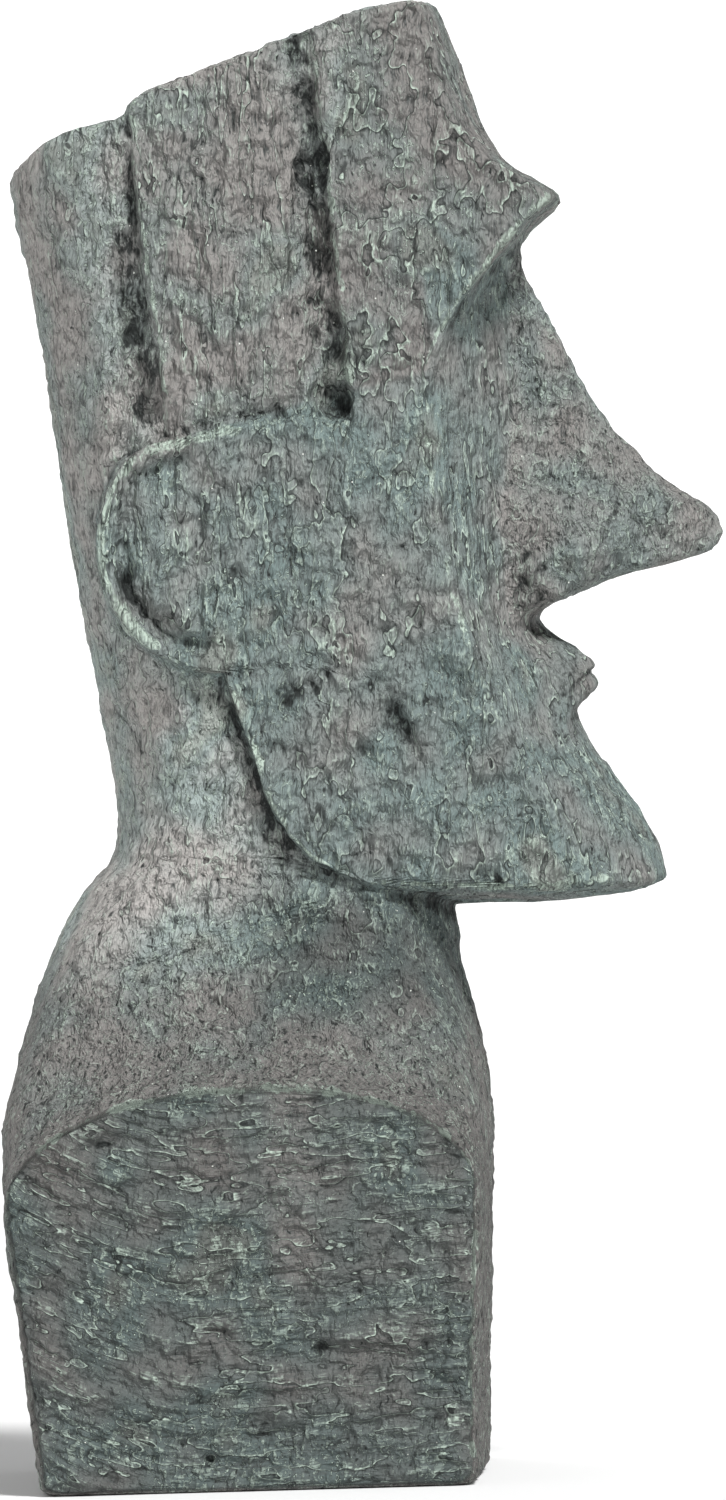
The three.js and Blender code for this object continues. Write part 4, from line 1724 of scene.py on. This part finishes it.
    @staticmethod
    def ledge(graph: Graph, noise: Socket, count: float) -> tuple[Socket, Socket, Socket]:
        """Ledges along the level lines of a noise: they rise slowly and drop sharply.

        The height is the fraction of count x noise, squared; the lip lies just below its drop.

        Args:
            graph: the material's nodes.
            noise: the noise that is cut into ledges.
            count: ledges from 0 to 1 of the noise.

        Returns:
            Height, pale lip and painted shadow at the foot, each 0 to 1.
        """
        stairs = graph.calc("FRACT", graph.times(noise, count))
        lip = graph.times(graph.ease(stairs, 0.91, 0.97), graph.ease(stairs, 1.0, 0.985))
        return graph.times(stairs, stairs), lip, graph.ease(stairs, 0.13, 0.01)

    def colour(self, graph: Graph, place: Socket, fine: FineRelief) -> Socket:
        """Colour: dark wash and painted shade in hollows, grey-green to mauve between, brushed mint on
        ridges, painted glints.

        Args:
            graph: the material's nodes.
            place: object coordinates in millimetres.
            fine: the fine relief.

        Returns:
            The colour socket.
        """
        crest, crevice, relief = graph.attribute("wear_and_shade")
        light, green, _ = graph.attribute("tone")
        wander = graph.line(fine.lumps, 6.0, -3.0)
        wander = graph.line(graph.calc("SUBTRACT", fine.pecks, 0.5), 5.0, wander)
        stone = self.painted(graph, fine, relief, light, green)
        stone = graph.tint(self.brushed(graph, fine, graph.add(crest, wander)), stone, self.mint)
        stone = graph.tint(self.soiled_and_shaded(graph, fine, graph.add(crevice, wander)), stone, self.deep)
        return graph.tint(self.glinted(graph, place), stone, self.glint)

    def painted(
        self, graph: Graph, fine: FineRelief, relief: Socket, light: Socket, green: Socket,
    ) -> Socket:
        """Stone between its hollows and ridges: mauve to green in patches, tan here and there, darker in
        hollows as dark wash and painted shade.

        Args:
            graph: the material's nodes.
            fine: the fine relief.
            relief: height over the near surroundings in millimetres, painted as shade.
            light: how light the stone is.
            green: how green the stone is.

        Returns:
            The colour.
        """
        hue = graph.add(graph.line(fine.patch, 2.6, -1.3), green)
        body = graph.tint(graph.ease(hue, -0.2, 1.0), self.mauve, self.green)
        warm = graph.times(graph.ease(fine.patch, 0.6, 0.72), self.tan_share)
        body = graph.tint(warm, body, self.tan)
        body = graph.tint(1.0, body, graph.equal(graph.add(light, 0.45)), "MULTIPLY")
        # Dark wash and painted shade: darker where the fine relief and the surface sink, lighter where they
        # stand out; the grain adds speckle.
        shade = graph.ease(fine.swell, 0.85, 1.2, 0.45, 1.0)
        shade = graph.add(shade, graph.ease(relief, -0.7, 0.7, -0.12, 0.12))
        shade = graph.calc("ADD", shade, graph.ease(fine.grain, 0.25, 0.7, -0.4, 0.3), clamp=True)
        return graph.tint(shade, self.dark, body)

    def brushed(self, graph: Graph, fine: FineRelief, crest: Socket) -> Socket:
        """Share of pale paint: on lips, islands, edges and the tops of the swell, broken by the grain.

        Args:
            graph: the material's nodes.
            fine: the fine relief.
            crest: distance from brushed edges in millimetres.

        Returns:
            The share.
        """
        lips = graph.times(fine.lip, graph.ease(fine.grain, 0.34, 0.52, 0.35, 1.0))
        islands = graph.times(fine.island, graph.ease(fine.grain, 0.35, 0.6, 0.05, 0.5))
        edges = graph.times(graph.ease(crest, 1.3, 0.4), graph.ease(fine.grain, 0.35, 0.6, 0.25, 0.85))
        tops = graph.times(graph.ease(fine.swell, 1.25, 1.42), graph.ease(fine.grain, 0.45, 0.6))
        paint = graph.greater(graph.greater(lips, islands), edges)
        paint = graph.greater(paint, graph.times(tops, self.top_share))
        return graph.calc("MINIMUM", paint, self.brush_limit)

    def soiled_and_shaded(self, graph: Graph, fine: FineRelief, crevice: Socket) -> Socket:
        """Share of the deep colour: dirt and painted shade in crevices, dark slits and dents, and painted
        shadow at the feet of ledges.

        Args:
            graph: the material's nodes.
            fine: the fine relief.
            crevice: distance from the dirt and painted shade of the carving in millimetres.

        Returns:
            The share.
        """
        low = graph.ease(graph.add(fine.lumps, fine.pecks), 1.1, 0.85)
        dirt_and_shade = graph.times(graph.ease(crevice, 1.2, -2.0), graph.line(low, 0.5, 0.45))
        for part in (fine.slit, fine.foot, fine.dent):
            dirt_and_shade = graph.greater(dirt_and_shade, graph.times(part, self.darkening_limit))
        return dirt_and_shade

    def glinted(self, graph: Graph, place: Socket) -> Socket:
        """Share of painted glints: a small pale dot at the middle of some cells.

        Args:
            graph: the material's nodes.
            place: object coordinates in millimetres.

        Returns:
            The share.
        """
        cells = graph.node("ShaderNodeTexVoronoi", {"Vector": place, "Scale": self.glint_scale})
        chance = graph.split(cells.outputs["Color"])[1]
        near = graph.ease(cells.outputs["Distance"], 0.07, 0.045)
        return graph.times(near, graph.ease(chance, 0.7, 0.75))


# ---------------------------------------------------------------- the statue
@dataclass
class Statue:
    """The one cast piece: head, neck and shoulder block."""

    grid: Grid
    finish: WeatheredStone
    name: str = PIECE
    foot_fade: tuple[float, float] = (0.2, 5.0)
    near_rounds: int = 6
    broad_rounds: int = 40

    def build(self) -> bpy.types.Object:
        """Carve, weather and stand the figure.

        Returns:
            The mesh object, at the origin, in metres.
        """
        uncut = self.grid.points()
        plain = carved(uncut, grid_normals(uncut))
        normals = grid_normals(plain)
        weather = Weather(plain)
        zones = weather.zones(normals)
        foot = ramp(*self.foot_fade, plain[..., 2] - LEVELS.base(plain[..., 1]))
        worn = plain + normals * (weather.relief(zones, normals) * foot)[..., None]
        mesh = self.skin(self.fitted(stand(worn)))
        worn_normals = grid_normals(worn)
        # The near hollowness is painted as shade, darker in hollows and lighter on ridges; the broad one
        # adds painted shade in broad hollows.
        near = weather.hollowness(worn, worn_normals, self.near_rounds)
        broad = weather.hollowness(worn, worn_normals, self.broad_rounds)
        strokes = [weather.blend(zones, quality) for quality in ("upright", "level", "hammered")]
        self.paint(mesh, "strokes", strokes)
        self.paint(mesh, "wear_and_shade", [weather.crest(zones), weather.dirt_and_shade(zones, broad), near])
        self.paint(mesh, "tone", weather.tone(zones))
        statue = bpy.data.objects.new(self.name, mesh)
        bpy.context.scene.collection.objects.link(statue)
        return statue

    @staticmethod
    def fitted(points: Array) -> Array:
        """Points drawn along each axis so that their box is the frame's box.

        Args:
            points: points of the standing figure in metres.

        Returns:
            The fitted points.
        """
        low, high = (np.array(corner) for corner in CAD_BOX)
        own_low, own_high = points.min((0, 1)), points.max((0, 1))
        return low + (points - own_low) * (high - low) / (own_high - own_low)

    @staticmethod
    def skin(points: Array) -> bpy.types.Mesh:
        """Closed mesh: quads between the rings, cut along their shorter diagonal, and two fans.

        Args:
            points: grid of points, shape (rings, columns, 3).

        Returns:
            The mesh, smooth shaded.
        """
        rings, columns, _ = points.shape
        index = np.arange(rings * columns).reshape(rings, columns)
        a, b = index[:-1], np.roll(index, -1, 1)[:-1]
        c, d = np.roll(index, -1, 1)[1:], index[1:]
        flat = points.reshape(-1, 3)
        middle = np.array([flat[index[0]].mean(0), flat[index[-1]].mean(0)])
        middle[0, 2] = flat[index[0], 2].mean()
        vertices = np.concatenate([flat, middle])
        first = np.linalg.norm(flat[a] - flat[c], axis=-1) <= np.linalg.norm(flat[b] - flat[d], axis=-1)
        one = np.where(first[..., None], np.stack([a, d, c], -1), np.stack([a, d, b], -1))
        two = np.where(first[..., None], np.stack([a, c, b], -1), np.stack([d, c, b], -1))
        under, top = len(flat), len(flat) + 1
        low = np.stack([np.full(columns, under), index[0], np.roll(index[0], -1)], -1)
        high = np.stack([index[-1], np.full(columns, top), np.roll(index[-1], -1)], -1)
        faces = np.concatenate([one.reshape(-1, 3), two.reshape(-1, 3), low, high])
        mesh = bpy.data.meshes.new(PIECE)
        mesh.from_pydata(vertices, [], faces)
        mesh.polygons.foreach_set("use_smooth", np.ones(len(faces), bool))
        mesh.update()
        return mesh

    @staticmethod
    def paint(mesh: bpy.types.Mesh, name: str, values: list[Array]) -> None:
        """Up to three values at each point as a vector attribute; a fan's point takes its ring's mean.

        Args:
            mesh: the skin.
            name: the attribute's name.
            values: one value at each grid point, for each part of the vector.
        """
        grid = np.zeros((*values[0].shape, 3))
        grid[..., :len(values)] = np.stack(values, -1)
        middle = np.stack([grid[0].mean(0), grid[-1].mean(0)])
        table = np.concatenate([grid.reshape(-1, 3), middle]).astype(np.float32)
        attribute = mesh.attributes.new(name, "FLOAT_VECTOR", "POINT")
        attribute.data.foreach_set("vector", table.ravel())

    def dress(self, statue: bpy.types.Object) -> None:
        """Give the finish, and let the piece ride and stand for the cast solid.

        Args:
            statue: the built piece.
        """
        statue.data.materials.append(self.finish.build())
        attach(statue, "root")
        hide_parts(NODE)


# ---------------------------------------------------------------- studio
@dataclass(frozen=True)
class Lamp:
    """Soft light from far away: where it comes from, its strength, and how wide it looks in degrees."""

    name: str
    source: tuple[float, float, float]
    strength: float
    spread: float
    away: float = 3.0

    def build(self) -> None:
        """Hang the lamp."""
        data = bpy.data.lights.new(self.name, "SUN")
        data.angle = math.radians(self.spread)
        data.energy = self.strength
        lamp = bpy.data.objects.new(self.name, data)
        turn = (-Vector(self.source)).to_track_quat("-Z", "Y").to_matrix().to_4x4()
        lamp.matrix_world = Matrix.Translation(Vector(self.source) * self.away) @ turn
        bpy.context.scene.collection.objects.link(lamp)


@dataclass(frozen=True)
class Studio:
    """Pale sweep, a key lamp above the figure's right, a weaker one on its left, and the camera."""

    distance: float = 6.0
    turned: float = math.radians(1.7)
    rolled: float = math.radians(1.7)
    middle: tuple[float, float, float] = (0.0, -0.0501, 0.3006)
    view_height: float = 0.62298
    sensor: float = 24.0
    farthest: float = 60.0
    floor_radius: float = 9.0
    sweep: float = 3.0
    flat_rings: int = 9
    sweep_rings: int = 12
    columns: int = 96
    paper: Colour = (0.88, 0.88, 0.88, 1.0)
    surroundings: Colour = (1.0, 1.0, 1.0, 1.0)
    surroundings_strength: float = 0.3
    lamps: tuple[Lamp, ...] = (
        Lamp("key", (-0.58, -0.30, 0.74), 3.5, 12.0),
        Lamp("fill", (0.7, 0.35, 0.6), 0.6, 40.0),
    )

    def camera(self) -> None:
        """Camera on the figure's right, a little towards its front, level and slightly rolled."""
        away = Vector((-math.cos(self.turned), -math.sin(self.turned), 0.0))
        right = Vector((math.sin(self.turned), -math.cos(self.turned), 0.0))
        up = Vector((0.0, 0.0, 1.0))
        rolled_right = right * math.cos(self.rolled) - up * math.sin(self.rolled)
        rolled_up = up * math.cos(self.rolled) + right * math.sin(self.rolled)
        place = Vector(self.middle) + away * self.distance
        data = bpy.data.cameras.new("camera")
        data.sensor_fit = "VERTICAL"
        data.sensor_height = self.sensor
        data.lens = data.sensor_height * self.distance / self.view_height
        data.clip_end = self.farthest
        camera = bpy.data.objects.new("camera", data)
        turn = Matrix((rolled_right, rolled_up, away)).transposed().to_4x4()
        camera.matrix_world = Matrix.Translation(place) @ turn
        bpy.context.scene.collection.objects.link(camera)
        bpy.context.scene.camera = camera

    def floor(self) -> bpy.types.Object:
        """Round pale floor that sweeps up at its rim, a quarter circle, so that no horizon shows.

        Returns:
            The floor, staged.
        """
        level = np.linspace(0.0, self.floor_radius, self.flat_rings + 1)[1:]
        bend = np.linspace(0, np.pi / 2, self.sweep_rings + 1)[1:]
        radius = np.concatenate([level, self.floor_radius + self.sweep * np.sin(bend)])
        height = np.concatenate([np.zeros(self.flat_rings), self.sweep * (1 - np.cos(bend))])
        angle = np.linspace(0, 2 * np.pi, self.columns + 1)[:-1]
        grid = np.stack([
            radius[:, None] * np.cos(angle), radius[:, None] * np.sin(angle), height[:, None] + 0 * angle,
        ], -1)
        rings, columns, _ = grid.shape
        index = np.arange(rings * columns).reshape(rings, columns)
        following = np.roll(index, -1, 1)
        quads = np.stack([index[:-1], index[1:], following[1:], following[:-1]], -1).reshape(-1, 4)
        centre = rings * columns
        fan = np.stack([np.full(columns, centre), index[0], following[0]], -1)
        mesh = bpy.data.meshes.new("studio_floor")
        vertices = np.concatenate([grid.reshape(-1, 3), [[0.0, 0.0, 0.0]]])
        mesh.from_pydata(vertices.tolist(), [], quads.tolist() + fan.tolist())
        mesh.polygons.foreach_set("use_smooth", np.ones(len(mesh.polygons), bool))
        floor = bpy.data.objects.new("studio_floor", mesh)
        bpy.context.scene.collection.objects.link(floor)
        material = bpy.data.materials.new("studio_paper")
        graph = Graph(material)
        shader = graph.node("ShaderNodeBsdfDiffuse", {"Color": self.paper})
        output = graph.node("ShaderNodeOutputMaterial", {})
        graph.tree.links.new(shader.outputs["BSDF"], output.inputs["Surface"])
        mesh.materials.append(material)
        return floor

    def light(self) -> None:
        """Even pale surroundings and the lamps."""
        world = bpy.data.worlds.new("studio")
        bpy.context.scene.world = world
        world.use_nodes = True
        background = world.node_tree.nodes["Background"]
        background.inputs["Color"].default_value = self.surroundings
        background.inputs["Strength"].default_value = self.surroundings_strength
        for lamp in self.lamps:
            lamp.build()
        bpy.context.scene.view_settings.view_transform = "Standard"


def main() -> None:
    """Build the statue and the studio, and report each piece."""
    studio = Studio()
    studio.camera()
    studio.floor()
    studio.light()
    statue = Statue(Grid(), WeatheredStone())
    piece = statue.build()
    statue.dress(piece)
    LOG.info("%s: %d points, %d faces", piece.name, len(piece.data.vertices), len(piece.data.polygons))


if __name__ == "__main__":
    main()
